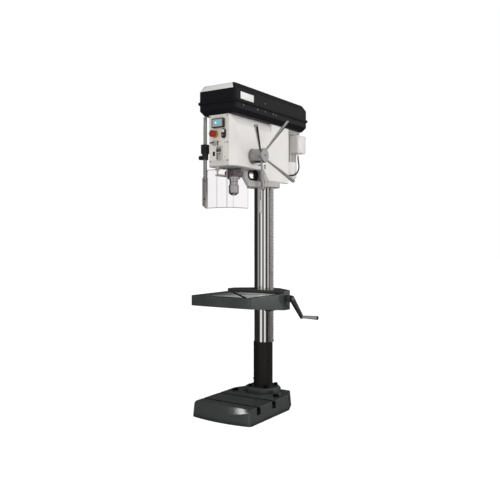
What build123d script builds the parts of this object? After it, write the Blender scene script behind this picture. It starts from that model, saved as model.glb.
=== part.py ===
from build123d import *
from math import cos, hypot, pi, radians, sin, tan
import os

os.makedirs("parts", exist_ok=True)

# All sizes are millimetres. X is the machine's right, Y its rear and Z up.
# The origin is on the floor, on the column's axis.

# Clearances
run = 0.05
gap = 0.4
spare = 1.0

# Base
base_w = 424.0
base_front = 471.0
base_bow = 26.0
base_straight = 30.0
base_rear = 100.0
base_tail = 310.0
base_h = 92.0
base_draft = 5.4
base_bevel_run = 54.0
base_bevel_drop = 40.0
base_corner = 20.0
base_edge = 3.0
base_wall = 34.0
base_pocket = 46.0
base_pocket_r = 24.0
base_slot_first = 375.0
base_slot_step = 172.0
base_slot_count = 2
slot_w = 16.0
slot_neck = 13.0
slot_head = 26.0
slot_head_h = 11.0
level_r = 8.0
level_head = 28.0
level_head_h = 13.0
level_x = 155.0
level_y = 95.0
level_lift = 2.0

# Column, its flange and its lower sleeve
col_r = 57.5
col_wall = 9.0
col_top = 1690.0
flange_af = 214.0
flange_t = 32.0
flange_pcd = 170.0
flange_screw_r = 8.0
flange_screw_grip = 26.0
flange_head_r = 12.0
flange_head_h = 14.0
flange_hex = 6.0
sleeve_wall = 4.5
sleeve_top = 412.0

# Rack on the column and the table's lifting gear
rack_module = 3.0
rack_w = 32.0
rack_back = 8.0
pinion_teeth = 12
pinion_w = 24.0
worm_module = 2.5
worm_starts = 2
worm_pitch_r = 11.0
worm_len = 44.0
worm_steps = 26
wheel_teeth = 16
wheel_w = 12.0
wheel_y = -70.0
gear_shaft_r = 8.0
worm_shaft_r = 9.0

# Table
table_w = 428.0
table_front = 481.0
table_bow = 30.0
table_straight = 20.0
table_rear = 98.0
table_tail = 130.0
table_corner = 16.0
table_top = 734.0
table_rim_h = 58.0
table_low = 632.0
table_skin = 28.0
table_wall = 24.0
table_pocket_r = 22.0
table_rim = 13.0
table_channel = 22.0
table_channel_d = 7.0
table_work_r = 26.0
table_land = 14.0
hub_front = 95.0
hub_rise = 18.0
tee_w = 16.0
tee_neck = 11.0
tee_head = 23.0
tee_head_h = 10.0
tee_len = 430.0
crank_z = 704.0
crank_boss_r = 22.0
crank_boss_h = 34.0
gear_room = 4.0
gear_cover_t = 12.0
crank_arm_t = 14.0
crank_hub_r = 20.0
crank_end_r = 13.0
crank_reach = 176.0
crank_angle = -44.8
grip_len = 108.0
grip_r = 13.0
grip_neck_r = 9.0
grip_pin_r = 5.0
grip_edge = 4.0
clamp_r = 8.0
clamp_hub = 24.0
clamp_boss_r = 20.0
clamp_arm = 84.0
clamp_ball_r = 11.0

# Head casting
quill_y = -335.0
head_half = 70.0
head_front = 482.0
head_rear = 110.0
head_floor = 1503.0
head_top = 1803.0
head_plate_step = 13.0
collar_r = 108.0
collar_low = 1406.0
collar_h = 34.0
neck_r = 66.0
web_half = 11.0
web_front = 240.0
web_toe = 4.0
web_drop = 47.0
web_run = 57.0
head_wall = 12.0
bore_wall = 14.0
quill_boss = 6.0
quill_boss_h = 3.0
depth_boss = 7.0
depth_boss_h = 23.0
lift_y = -137.0
lift_z = 1477.0
lift_w = 116.0
lift_h = 68.0
lift_trim = 12.0
lift_lip = 3.0
panel_t = 6.0
panel_low = 1537.0

# Quill, spindle and chuck
quill_r = 37.5
quill_low = 1437.0
quill_travel = 160.0
quill_extra = 15.0
spindle_r = 20.0
spline_r = 14.0
spline_hold = 24.0
feed_module = 2.5
feed_teeth = 16
feed_z = 1573.0
feed_shaft_r = 15.0
feed_face = 11.0
quill_rack_w = 24.0
collar_ring_r = 54.0
collar_ring_h = 33.0
collar_ring_up = 12.0
collar_ring_edge = 2.0
depth_x = -44.0
depth_y = -440.0
depth_r = 5.0
depth_len = 205.0
arm_t = 10.0
arm_end_r = 12.0
nose_r = 26.0
nose_h = 14.0
chuck_h = 85.0
chuck_neck_r = 25.0
chuck_neck_h = 22.0
chuck_core_r = 22.0
chuck_r = 30.5
chuck_edge = 3.0
chuck_nose_h = 12.0
grip_groove_r = 2.5
grip_grooves = 12
jaw_w = 7.0
jaw_d = 7.0
jaw_len = 36.0
jaw_tilt = 12.0
jaw_foot_r = 6.5
jaw_edge = 1.2
jaw_travel = 16.0

# Feed hub and levers
hub_len = 90.0
hub_r = 43.0
hub_flange_r = 47.0
hub_flange_t = 8.0
hub_edge = 3.0
hub_eye_r = 5.0
hub_eye_d = 12.0
lever_count = 4
lever_phase = 56.7
lever_x = 170.0
lever_in = 20.0
lever_tip_x = 265.0
lever_tip = 262.0
lever_root_r = 6.5
lever_end_r = 11.5
lever_nose = 7.0
spring_r = 41.0
spring_w = 30.0

# Side covers
cover_out = 100.0
cover_chamfer = 43.0
cover_back = 156.0
cover_wall = 5.0
cover_drop = 63.0
cover_drop_y = 149.0
cover_drop_run = 59.0
facet_h = 55.0
facet_in = 25.0
facet_end = 60.0

# Controls on the front panel
display_x = 2.0
display_z = 1752.0
display_w = 84.0
display_h = 55.0
display_d = 20.0
display_rim = 5.0
display_corner = 6.0
display_edge = 2.0
screen_t = 4.0
screen_sunk = 1.5
readout_x = 7.0
readout_z = 1576.0
readout_w = 38.0
readout_h = 82.0
readout_d = 12.0
readout_edge = 1.5
estop_x = -25.0
estop_z = 1690.0
estop_collar_r = 22.0
estop_collar_d = 11.0
estop_edge = 3.0
estop_r = 20.0
estop_cap = 26.0
estop_stem_r = 9.0
estop_travel = 6.0
pair_x = 38.0
pair_z = 1690.0
pair_w = 28.0
pair_h = 57.0
pair_d = 13.0
pair_step = 13.0
pair_edge = 3.0
key_r = 9.5
start_rise = 4.0
stop_rise = 6.0
key_edge = 1.5
selector_x = -29.0
selector_z = 1637.0
selector_r = 16.0
selector_d = 9.0
selector_bar = 10.0
selector_rise = 16.0
socket_x = -36.0
socket_z = 1575.0
socket_w = 16.0
socket_h = 26.0
socket_corner = 2.0

# Belt cover
box_w = 262.0
box_front = 508.0
box_rear = 353.0
box_inset = 20.0
box_corner = 14.0
tray_bevel = 29.0
tray_h = 72.0
box_wall = 3.0
rim_out = 10.0
rim_t = 6.0
seam = 1.2
lid_h = 104.0
lid_bevel = 36.0
hinge_r = 7.0
hinge_pin_r = 3.0
hinge_out = 9.0
hinge_leaf = 2.5
hinge_mid = 24.0
hinge_side = 16.0
hinge_front = -300.0
hinge_back = 200.0

# Belt drive and motor
motor_y = 272.0
drive_groove = 62.0
motor_groove = 40.0
pulley_lip = 10.0
pulley_lip_t = 5.0
belt_w = 24.0
belt_t = 7.6
pulley_lift = 12.0
sleeve_r = 30.0
sleeve_seat = 46.0
sleeve_stub = 20.0
shaft_room = 6.0
motor_shaft_r = 12.0
motor_shaft_in = 30.0
plate_half = 88.0
plate_front = 30.0
plate_back = 350.0
motor_r = 76.0
motor_fin = 6.0
motor_fin_t = 4.0
motor_fins = 24
motor_flange_r = 90.0
motor_flange_t = 12.0
motor_len = 196.0
cowl_len = 112.0
cowl_r = 84.0
cowl_chamfer = 14.0
cowl_slots = 8
cowl_slot_w = 8.0
cowl_slot_d = 12.0
jbox_out = 129.0
jbox_w = 108.0
jbox_h = 117.0
jbox_drop = 19.0
jbox_back = 14.0
jbox_in = 10.0
jbox_corner = 4.0
gland_x = 91.0
gland_y = 303.0
gland_r = 9.0
gland_h = 18.0
inlet_h = 6.0
cable_r = 4.5
cable_z = 1498.0

# Chuck guard
guard_x = -120.0
guard_y = -462.0
guard_rod_r = 11.0
guard_rod_top = 1797.0
guard_rod_edge = 1.5
guard_box_low = 1584.0
guard_box_h = 54.0
guard_box_w = 38.0
guard_box_d = 44.0
guard_box_corner = 5.0
guard_collar_r = 19.0
guard_collar_h = 36.0
guard_knob_r = 13.0
guard_knob_d = 22.0
guard_knob_z = 1562.0
guard_screw_r = 4.0
guard_screw_in = 2.0
guard_knob_flutes = 6
guard_flute_r = 4.5
guard_bar_w = 28.0
guard_bar_d = 24.0
guard_bar_corner = 3.0
guard_bar_top = 1440.0
guard_low = 1257.0
guard_high = 1486.0
shield_t = 3.0
shield_grip = 15.0
shield_bends = ((100.0, -18.0), (172.0, -18.0), (202.0, 5.0), (212.0, 144.0))
shield_step = 6.0

# Values that follow from the sizes above
sleeve_out = col_r + sleeve_wall
base_nose = base_front + base_bow
table_nose = table_front + table_bow
flange_top = base_h + flange_t
rack_pitch = pi * rack_module
rack_root = col_r + gap + rack_back
rack_pitch_x = rack_root + 1.25 * rack_module
rack_tip = rack_pitch_x + 0.9 * rack_module
pinion_pitch_r = rack_module * pinion_teeth / 2
pinion_x = rack_pitch_x + pinion_pitch_r
wheel_pitch_r = worm_module * wheel_teeth / 2
pinion_z = crank_z - worm_pitch_r - wheel_pitch_r
worm_lead = pi * worm_module * worm_starts
worm_root_r = worm_pitch_r - 1.25 * worm_module
worm_tip_r = worm_pitch_r + 0.9 * worm_module
feed_pitch_r = feed_module * feed_teeth / 2
quill_pitch = quill_r - feed_module
feed_y = quill_y + quill_pitch + feed_pitch_r
quill_top = feed_z + quill_travel + quill_extra
chuck_top = quill_low - nose_h
chuck_low = chuck_top - chuck_h
sleeve_low = head_top - sleeve_seat
tray_z = head_top
seam_z = tray_z + tray_h
lid_z = seam_z + seam
box_cy = (box_rear - box_front) / 2
box_len = box_front + box_rear
pulley_z = tray_z + pulley_lift
pulley_top = pulley_z + belt_w + 2 * pulley_lip_t
spindle_top = sleeve_low + quill_travel + spline_hold
plate_low = head_top - head_plate_step
motor_top = plate_low
motor_low = motor_top - motor_len
panel_face = -(head_front + panel_t)
hub_x = cover_out + gap
hub_end = hub_x + hub_len
clamp_z = (table_top + table_low) / 2
crank_x = table_w / 2 + crank_boss_h + gap
arm_out = crank_x + crank_arm_t
crank_end_y = wheel_y + crank_reach * cos(radians(crank_angle))
crank_end_z = crank_z + crank_reach * sin(radians(crank_angle))
low_edge = (Align.CENTER, Align.CENTER, Align.MIN)
top_edge = (Align.CENTER, Align.CENTER, Align.MAX)


def tee_section(width, neck, head, head_h):
    """A T-slot's section, with its mouth on the local X axis."""
    with BuildSketch() as section:
        Rectangle(width, 2 * neck)
        with Locations((0, -neck)):
            Rectangle(head, head_h, align=(Align.CENTER, Align.MAX))
    return section.sketch


def gear_section(teeth, module, first):
    """A spur gear's section, with one tooth at the angle first."""
    pitch_r = module * teeth / 2
    step = 360 / teeth
    flank = ((pitch_r - 1.2 * module, 0.29), (pitch_r, 0.205), (pitch_r + 0.9 * module, 0.1))
    corners = []
    for tooth in range(teeth):
        middle = first + tooth * step
        for radius, half in flank:
            corners.append((radius, middle - half * step))
        for radius, half in reversed(flank):
            corners.append((radius, middle + half * step))
    with BuildSketch() as section:
        with BuildLine():
            Polyline(*[(r * cos(radians(a)), r * sin(radians(a))) for r, a in corners], close=True)
        make_face()
    return section.sketch


def rack_gap(module):
    """The gap between two rack teeth, with its middle on the pitch line and its mouth towards +X."""
    half = 0.27 * pi * module
    slope = tan(radians(20))
    deep = 1.25 * module
    high = 1.5 * module
    with BuildSketch() as section:
        with BuildLine():
            Polyline(
                (-deep, -half + deep * slope), (high, -half - high * slope),
                (high, half + high * slope), (-deep, half - deep * slope), close=True,
            )
        make_face()
    return section.sketch


# Base casting: a drafted slab with a bevelled front, hollow below its work area, narrower at the rear
with BuildPart() as base_casting:
    with BuildSketch():
        with BuildLine():
            Polyline(
                (base_w / 2, -base_front), (base_w / 2, -base_straight), (base_tail / 2, base_rear),
                (-base_tail / 2, base_rear), (-base_w / 2, -base_straight), (-base_w / 2, -base_front),
            )
            ThreePointArc((-base_w / 2, -base_front), (0, -base_nose), (base_w / 2, -base_front))
        make_face()
        fillet(vertices(), base_corner)
    extrude(amount=base_h, taper=base_draft)
    with BuildSketch(Plane.YZ):
        with BuildLine():
            Polyline(
                (-base_nose, base_h - base_bevel_drop), (-base_nose + base_bevel_run, base_h),
                (-base_nose + base_bevel_run, base_h + spare), (-base_nose, base_h + spare), close=True,
            )
        make_face()
    extrude(amount=base_w, both=True, mode=Mode.SUBTRACT)
    chamfer(faces().sort_by(Axis.Z)[-1].edges(), base_edge)
    with BuildSketch():
        with Locations((0, -(base_front + flange_af / 2) / 2)):
            RectangleRounded(
                base_w - 2 * base_wall, base_front - flange_af / 2 - 2 * base_wall, base_pocket_r
            )
    extrude(amount=base_pocket, mode=Mode.SUBTRACT)
    with BuildSketch(Plane.YZ):
        for slot in range(base_slot_count):
            with Locations((-base_slot_first + slot * base_slot_step, base_h)):
                add(tee_section(slot_w, slot_neck, slot_head, slot_head_h))
    extrude(amount=base_w, both=True, mode=Mode.SUBTRACT)
    with Locations((0, 0, base_h)):
        with PolarLocations(flange_pcd / 2, 4, start_angle=45):
            Hole(flange_screw_r, depth=flange_screw_grip)
    with Locations((-level_x, -level_y, base_h), (level_x, -level_y, base_h)):
        Hole(level_r, depth=2 * base_h)
base_casting.part.label = "base_casting"

with BuildPart() as levelling_screws:
    with Locations((-level_x, -level_y, 0), (level_x, -level_y, 0)):
        with Locations((0, 0, level_lift)):
            Cylinder(level_r, base_h - level_lift, align=low_edge)
        with Locations((0, 0, base_h)):
            Box(level_head, level_head, level_head_h, align=low_edge)
levelling_screws.part.label = "levelling_screws"

with BuildPart() as column_flange:
    with BuildSketch(Plane.XY.offset(base_h)):
        RegularPolygon(flange_af / 2, 8, major_radius=False, rotation=22.5)
        Circle(col_r, mode=Mode.SUBTRACT)
        with PolarLocations(flange_pcd / 2, 4, start_angle=45):
            Circle(flange_screw_r + gap, mode=Mode.SUBTRACT)
    extrude(amount=flange_t)
    chamfer(faces().sort_by(Axis.Z)[-1].outer_wire().edges(), flange_t / 5)
column_flange.part.label = "column_flange"

with BuildPart() as flange_screws:
    with PolarLocations(flange_pcd / 2, 4, start_angle=45):
        with Locations((0, 0, base_h - flange_screw_grip)):
            Cylinder(flange_screw_r, flange_screw_grip + flange_t, align=low_edge)
        with Locations((0, 0, flange_top)):
            Cylinder(flange_head_r, flange_head_h, align=low_edge)
    with BuildSketch(Plane.XY.offset(flange_top + flange_head_h)):
        with PolarLocations(flange_pcd / 2, 4, start_angle=45):
            RegularPolygon(flange_hex, 6)
    extrude(amount=-flange_head_h / 2, mode=Mode.SUBTRACT)
flange_screws.part.label = "flange_screws"

with BuildPart() as column_tube:
    with BuildSketch(Plane.XY.offset(base_h)):
        Circle(col_r)
        Circle(col_r - col_wall, mode=Mode.SUBTRACT)
    extrude(amount=col_top - base_h)
column_tube.part.label = "column_tube"

with BuildPart() as lower_sleeve:
    with BuildSketch(Plane.XY.offset(flange_top)):
        Circle(sleeve_out)
        Circle(col_r, mode=Mode.SUBTRACT)
    extrude(amount=sleeve_top - flange_top)
    chamfer(faces().sort_by(Axis.Z)[-1].outer_wire().edges(), sleeve_wall / 3)
lower_sleeve.part.label = "lower_sleeve"

# Rack: a toothed bar that turns round the column with the table
with BuildPart() as rack_bar:
    with BuildSketch(Plane.XZ):
        with Locations((col_r + gap, sleeve_top + gap)):
            Rectangle(
                rack_tip - col_r - gap, collar_low - sleeve_top - 2 * gap, align=(Align.MIN, Align.MIN)
            )
        below = int((pinion_z - sleeve_top) / rack_pitch) - 1
        above = int((collar_low - pinion_z) / rack_pitch) - 1
        for tooth in range(-below, above + 1):
            with Locations((rack_pitch_x, pinion_z + tooth * rack_pitch)):
                add(rack_gap(rack_module), mode=Mode.SUBTRACT)
    extrude(amount=rack_w / 2, both=True)
rack_bar.part.label = "rack_bar"

# Table casting: a tray with a coolant channel and crossed T-slots, its rear a bearing round the column
with BuildPart() as table_casting:
    with BuildSketch(Plane.XY.offset(table_low)) as table_plan:
        with BuildLine():
            Polyline(
                (table_w / 2, -table_front), (table_w / 2, -table_straight), (table_tail / 2, table_rear),
                (-table_tail / 2, table_rear), (-table_w / 2, -table_straight), (-table_w / 2, -table_front),
            )
            ThreePointArc((-table_w / 2, -table_front), (0, -table_nose), (table_w / 2, -table_front))
        make_face()
        fillet(vertices(), table_corner)
    extrude(amount=table_top - table_low)
    with BuildSketch(Plane.XY.offset(table_top)):
        add(table_plan.sketch_local)
        with Locations((0, -hub_front)):
            Rectangle(table_w, hub_front + table_rear, align=(Align.CENTER, Align.MIN), mode=Mode.INTERSECT)
    extrude(amount=hub_rise)
    with BuildSketch(Plane.YZ):
        with BuildLine():
            Polyline(
                (-table_nose - spare, table_low - spare), (-table_nose - spare, table_top - table_rim_h),
                (-hub_front, table_low), (-hub_front, table_low - spare), close=True,
            )
        make_face()
    extrude(amount=table_w, both=True, mode=Mode.SUBTRACT)
    with BuildSketch(Plane.XY.offset(table_low)):
        with Locations((0, -(table_front + hub_front) / 2 - table_wall / 4)):
            RectangleRounded(
                table_w - 2 * table_wall, table_front - hub_front - 2.5 * table_wall, table_pocket_r,
            )
    extrude(amount=table_top - table_skin - table_low, mode=Mode.SUBTRACT)
    work_y = -(table_front - table_rim + hub_front + table_land) / 2
    work_w = table_w - 2 * table_rim
    work_l = table_front - table_rim - hub_front - table_land
    with BuildSketch(Plane.XY.offset(table_top)):
        with Locations((0, work_y)):
            RectangleRounded(work_w, work_l, table_work_r)
            RectangleRounded(
                work_w - 2 * table_channel, work_l - 2 * table_channel,
                table_work_r - table_channel / 2, mode=Mode.SUBTRACT,
            )
    extrude(amount=-table_channel_d, mode=Mode.SUBTRACT)
    for side in (-1, 1):
        slot_dir = Vector(1, side, 0).normalized()
        slot_start = Vector(0, work_y, table_top) - slot_dir * (tee_len / 2)
        with BuildSketch(Plane(slot_start, x_dir=slot_dir.cross(Vector(0, 0, -1)), z_dir=slot_dir)):
            add(tee_section(tee_w, tee_neck, tee_head, tee_head_h))
        extrude(amount=tee_len, mode=Mode.SUBTRACT)
    with BuildSketch(Plane.YZ.offset(table_w / 2 - table_wall)):
        with Locations((wheel_y, crank_z)):
            Circle(crank_boss_r)
    extrude(amount=table_wall + crank_boss_h)
    with BuildSketch(Plane.YZ.offset(-table_w / 2)):
        with Locations((0, clamp_z)):
            Circle(clamp_boss_r)
    extrude(amount=table_w / 2 - col_r - table_wall)
    with BuildSketch(Plane.XY.offset(table_low - spare)):
        Circle(col_r + run)
        Rectangle(rack_tip + gap, rack_w + 2 * gap, align=(Align.MIN, Align.CENTER))
    extrude(amount=table_top + hub_rise - table_low + 2 * spare, mode=Mode.SUBTRACT)
    gear_lo = wheel_y - max(wheel_w / 2, worm_tip_r) - gear_room
    gear_hi = pinion_w / 2 + gear_room
    gear_x0 = pinion_x - worm_len / 2 - gear_room / 2
    gear_x1 = pinion_x + worm_len / 2 + 2 * gear_room
    with BuildSketch(Plane.XY.offset(table_low)):
        with Locations(((gear_x0 + gear_x1) / 2, (gear_lo + gear_hi) / 2)):
            Rectangle(gear_x1 - gear_x0, gear_hi - gear_lo)
    extrude(amount=crank_z + worm_tip_r + gear_room - table_low, mode=Mode.SUBTRACT)
    with BuildSketch(Plane.YZ.offset(gear_x1 - spare)):
        with Locations((wheel_y, crank_z)):
            Circle(worm_shaft_r + run)
    extrude(amount=table_w, mode=Mode.SUBTRACT)
    with BuildSketch(Plane.XZ.offset(-gear_hi - gear_shaft_r)):
        with Locations((pinion_x, pinion_z)):
            Circle(gear_shaft_r + run)
    extrude(amount=gear_hi - gear_lo + 2 * gear_shaft_r, mode=Mode.SUBTRACT)
    with BuildSketch(Plane.YZ.offset(-table_w)):
        with Locations((0, clamp_z)):
            Circle(clamp_r + run)
    extrude(amount=table_w, mode=Mode.SUBTRACT)
table_casting.part.label = "table_casting"

with BuildPart() as gear_cover:
    with BuildSketch(Plane.XY.offset(table_low)):
        with Locations(((gear_x0 + gear_x1) / 2, (gear_lo + gear_hi) / 2)):
            RectangleRounded(
                gear_x1 - gear_x0 - 2 * gear_room, gear_hi - gear_lo + 2 * gear_shaft_r, 2 * gear_room
            )
        Circle(sleeve_out + 4 * gap, mode=Mode.SUBTRACT)
        Rectangle(rack_tip + gap, rack_w + 2 * gap, align=(Align.MIN, Align.CENTER), mode=Mode.SUBTRACT)
    extrude(amount=-gear_cover_t)
gear_cover.part.label = "gear_cover"

# Worm shaft: a two-start worm lofted through turning sections, then the plain shaft out to the crank
worm_wave = (
    (0.0, worm_root_r), (0.11, worm_root_r), (0.22, worm_root_r), (0.36, worm_tip_r),
    (0.64, worm_tip_r), (0.78, worm_root_r), (0.89, worm_root_r),
)
with BuildPart() as crank_shaft:
    for step in range(worm_steps + 1):
        along = worm_len * (step / worm_steps - 0.5)
        turn = 270 + 360 * along / worm_lead
        with BuildSketch(Plane((pinion_x + along, wheel_y, crank_z), x_dir=(0, 1, 0), z_dir=(1, 0, 0))):
            with BuildLine():
                Polyline(
                    *[
                        (
                            r * cos(radians(turn + 360 * (start + share) / worm_starts)),
                            r * sin(radians(turn + 360 * (start + share) / worm_starts)),
                        )
                        for start in range(worm_starts)
                        for share, r in worm_wave
                    ],
                    close=True,
                )
            make_face()
    loft(ruled=True)
    with BuildSketch(Plane.YZ.offset(pinion_x + worm_len / 2)):
        with Locations((wheel_y, crank_z)):
            Circle(worm_shaft_r)
    extrude(amount=arm_out - pinion_x - worm_len / 2)
crank_shaft.part.label = "crank_shaft"

# Pinion shaft: the pinion on the rack and the worm wheel beside it
with BuildPart() as pinion_shaft:
    with BuildSketch(Plane((pinion_x, gear_lo - gear_shaft_r + spare, pinion_z), (1, 0, 0), (0, 1, 0))):
        Circle(gear_shaft_r)
    extrude(amount=gear_hi - gear_lo + 2 * gear_shaft_r - 2 * spare)
    with BuildSketch(Plane((pinion_x, -pinion_w / 2, pinion_z), x_dir=(1, 0, 0), z_dir=(0, 1, 0))):
        add(gear_section(pinion_teeth, rack_module, 180))
    extrude(amount=pinion_w)
    with BuildSketch(Plane((pinion_x, wheel_y - wheel_w / 2, pinion_z), x_dir=(1, 0, 0), z_dir=(0, 1, 0))):
        Circle(wheel_pitch_r - 1.2 * worm_module)
    extrude(amount=wheel_w)
    wheel_lean = worm_lead / (2 * pi * worm_pitch_r)
    for tooth in range(wheel_teeth):
        at = radians(90 + 360 * tooth / wheel_teeth)
        out = Vector(cos(at), 0, sin(at))
        side = Vector(-sin(at), 0, cos(at))
        lean = (Vector(0, 1, 0) - side * wheel_lean).normalized()
        foot = Vector(pinion_x, wheel_y, pinion_z) + out * (wheel_pitch_r - 2 * worm_module)
        foot = foot - lean * wheel_w / 2
        with BuildSketch(Plane(foot, x_dir=out, z_dir=lean)):
            with BuildLine():
                Polyline(
                    (0, -0.9 * worm_module), (2 * worm_module, -0.52 * worm_module),
                    (2.8 * worm_module, -0.25 * worm_module), (2.8 * worm_module, 0.25 * worm_module),
                    (2 * worm_module, 0.52 * worm_module), (0, 0.9 * worm_module), close=True,
                )
            make_face()
        extrude(amount=wheel_w)
pinion_shaft.part.label = "pinion_shaft"

with BuildPart() as crank_arm:
    with BuildSketch(Plane.YZ.offset(crank_x)):
        with Locations((wheel_y, crank_z)):
            Circle(crank_hub_r)
        with Locations((crank_end_y, crank_end_z)):
            Circle(crank_end_r)
        make_hull()
        with Locations((wheel_y, crank_z)):
            Circle(worm_shaft_r, mode=Mode.SUBTRACT)
    extrude(amount=crank_arm_t)
    chamfer(faces().sort_by(Axis.X)[-1].outer_wire().edges(), crank_arm_t / 5)
    with BuildSketch(Plane.YZ.offset(arm_out)):
        with Locations((crank_end_y, crank_end_z)):
            Circle(grip_pin_r)
    extrude(amount=grip_len)
crank_arm.part.label = "crank_arm"

with BuildPart() as crank_grip:
    with BuildSketch(Plane((arm_out + gap, crank_end_y, crank_end_z), x_dir=(1, 0, 0), z_dir=(0, -1, 0))):
        with BuildLine():
            Polyline(
                (0, grip_pin_r + run), (0, grip_neck_r), (grip_len - grip_edge, grip_r),
                (grip_len, grip_r - grip_edge), (grip_len, grip_pin_r + run), close=True,
            )
        make_face()
    revolve(axis=Axis((0, crank_end_y, crank_end_z), (1, 0, 0)))
crank_grip.part.label = "crank_grip"

# Table clamp: a screw through the boss on the bearing's left side, with a ball lever to the rear
with BuildPart() as table_clamp:
    with BuildSketch(Plane.YZ.offset(-col_r - gap)):
        with Locations((0, clamp_z)):
            Circle(clamp_r)
    extrude(amount=-(table_w / 2 - col_r))
    with BuildSketch(Plane.YZ.offset(-table_w / 2 - gap)):
        with Locations((0, clamp_z)):
            Circle(2 * clamp_r)
    extrude(amount=-clamp_hub)
    with BuildSketch(Plane.XZ):
        with Locations((-table_w / 2 - gap - clamp_hub / 2, clamp_z)):
            Circle(clamp_r * 0.7)
    extrude(amount=-clamp_arm)
    with Locations((-table_w / 2 - gap - clamp_hub / 2, clamp_arm, clamp_z)):
        Sphere(clamp_ball_r)
table_clamp.part.label = "table_clamp"

# Head casting: the quill housing, control box and column clamp with its neck web
with BuildPart() as head_casting:
    with BuildSketch(Plane.XY.offset(head_floor)):
        with Locations((0, -head_front)):
            Rectangle(2 * head_half, head_front + head_rear, align=(Align.CENTER, Align.MIN))
    extrude(amount=head_top - head_floor)
    with Locations((0, -head_front, head_floor)):
        Box(2 * head_half, panel_t, panel_low - head_floor, align=(Align.CENTER, Align.MAX, Align.MIN))
    fillet(edges().filter_by(Axis.X).sort_by(Axis.Z).group_by(Axis.Y)[0][0], panel_t)
    with BuildSketch(Plane.XY.offset(collar_low)):
        Circle(collar_r)
    extrude(amount=collar_h)
    with BuildSketch(Plane.XY.offset(collar_low)):
        Circle(neck_r)
    extrude(amount=head_floor - collar_low + spare)
    with BuildSketch(Plane.YZ):
        with BuildLine():
            Polyline(
                (-web_front, head_floor + spare), (-web_front + web_toe, head_floor - web_drop),
                (-web_front + web_run, collar_low), (0, collar_low), (0, head_floor + spare), close=True,
            )
        make_face()
    extrude(amount=web_half, both=True)
    with BuildSketch(Plane.YZ):
        with Locations((lift_y, lift_z)):
            SlotOverall(lift_w, lift_h)
    extrude(amount=collar_r, both=True, mode=Mode.SUBTRACT)
    with BuildSketch(Plane.XY.offset(head_floor - quill_boss_h)):
        with Locations((0, quill_y)):
            Circle(quill_r + quill_boss)
    extrude(amount=quill_boss_h)
    with BuildSketch(Plane.XY.offset(head_floor - depth_boss_h)):
        with Locations((depth_x, depth_y)):
            Circle(depth_r + depth_boss)
    extrude(amount=depth_boss_h)
    control_back = -quill_y + quill_r + bore_wall
    with Locations((0, -(head_front + control_back) / 2, head_floor + head_wall)):
        Box(
            2 * (head_half - head_wall), head_front - control_back, head_top - head_floor,
            align=low_edge, mode=Mode.SUBTRACT,
        )
    with Locations((0, -head_front, panel_low + head_wall)):
        Box(
            2 * (head_half - head_wall), 4 * head_wall, head_top - panel_low,
            align=low_edge, mode=Mode.SUBTRACT,
        )
    hollow_front = feed_y + feed_pitch_r + feed_module + bore_wall
    hollow_back = -neck_r - head_wall / 3
    with Locations((0, (hollow_front + hollow_back) / 2, head_floor + 2 * head_wall)):
        Box(
            2 * (head_half - head_wall), hollow_back - hollow_front, head_top - head_floor,
            align=low_edge, mode=Mode.SUBTRACT,
        )
    with Locations((0, plate_front, plate_low)):
        Box(
            4 * head_half, 4 * head_half, 2 * head_plate_step,
            align=(Align.CENTER, Align.MIN, Align.MIN), mode=Mode.SUBTRACT,
        )
    with BuildSketch(Plane.XY.offset(collar_low - spare)):
        Circle(col_r)
    extrude(amount=col_top - collar_low + spare, mode=Mode.SUBTRACT)
    with BuildSketch(Plane.XY.offset(head_floor - quill_boss_h - spare)):
        with Locations((0, quill_y)):
            Circle(quill_r + run)
    extrude(amount=sleeve_low - head_floor + quill_boss_h, mode=Mode.SUBTRACT)
    with BuildSketch(Plane.XY.offset(sleeve_low - 2 * spare)):
        with Locations((0, quill_y)):
            Circle(sleeve_r)
    extrude(amount=head_top - sleeve_low + 3 * spare, mode=Mode.SUBTRACT)
    with BuildSketch(Plane.XY.offset(head_floor - depth_boss_h - spare)):
        with Locations((depth_x, depth_y)):
            Circle(depth_r + gap)
    extrude(amount=depth_boss_h + head_wall + 2 * spare, mode=Mode.SUBTRACT)
    with BuildSketch(Plane.YZ.offset(-head_half - spare)):
        with Locations((feed_y, feed_z)):
            Circle(feed_shaft_r + run)
    extrude(amount=2 * (head_half + spare), mode=Mode.SUBTRACT)
    with BuildSketch(Plane.YZ.offset(-feed_face - spare)):
        with Locations((feed_y, feed_z)):
            Circle(feed_pitch_r + feed_module + spare)
    extrude(amount=2 * (feed_face + spare), mode=Mode.SUBTRACT)
head_casting.part.label = "head_casting"

with BuildPart() as lift_hole_trim:
    with BuildSketch(Plane.YZ):
        with Locations((lift_y, lift_z)):
            SlotOverall(lift_w, lift_h)
            SlotOverall(lift_w - 2 * lift_trim, lift_h - 2 * lift_trim, mode=Mode.SUBTRACT)
    extrude(amount=web_half + lift_lip, both=True)
lift_hole_trim.part.label = "lift_hole_trim"

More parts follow.
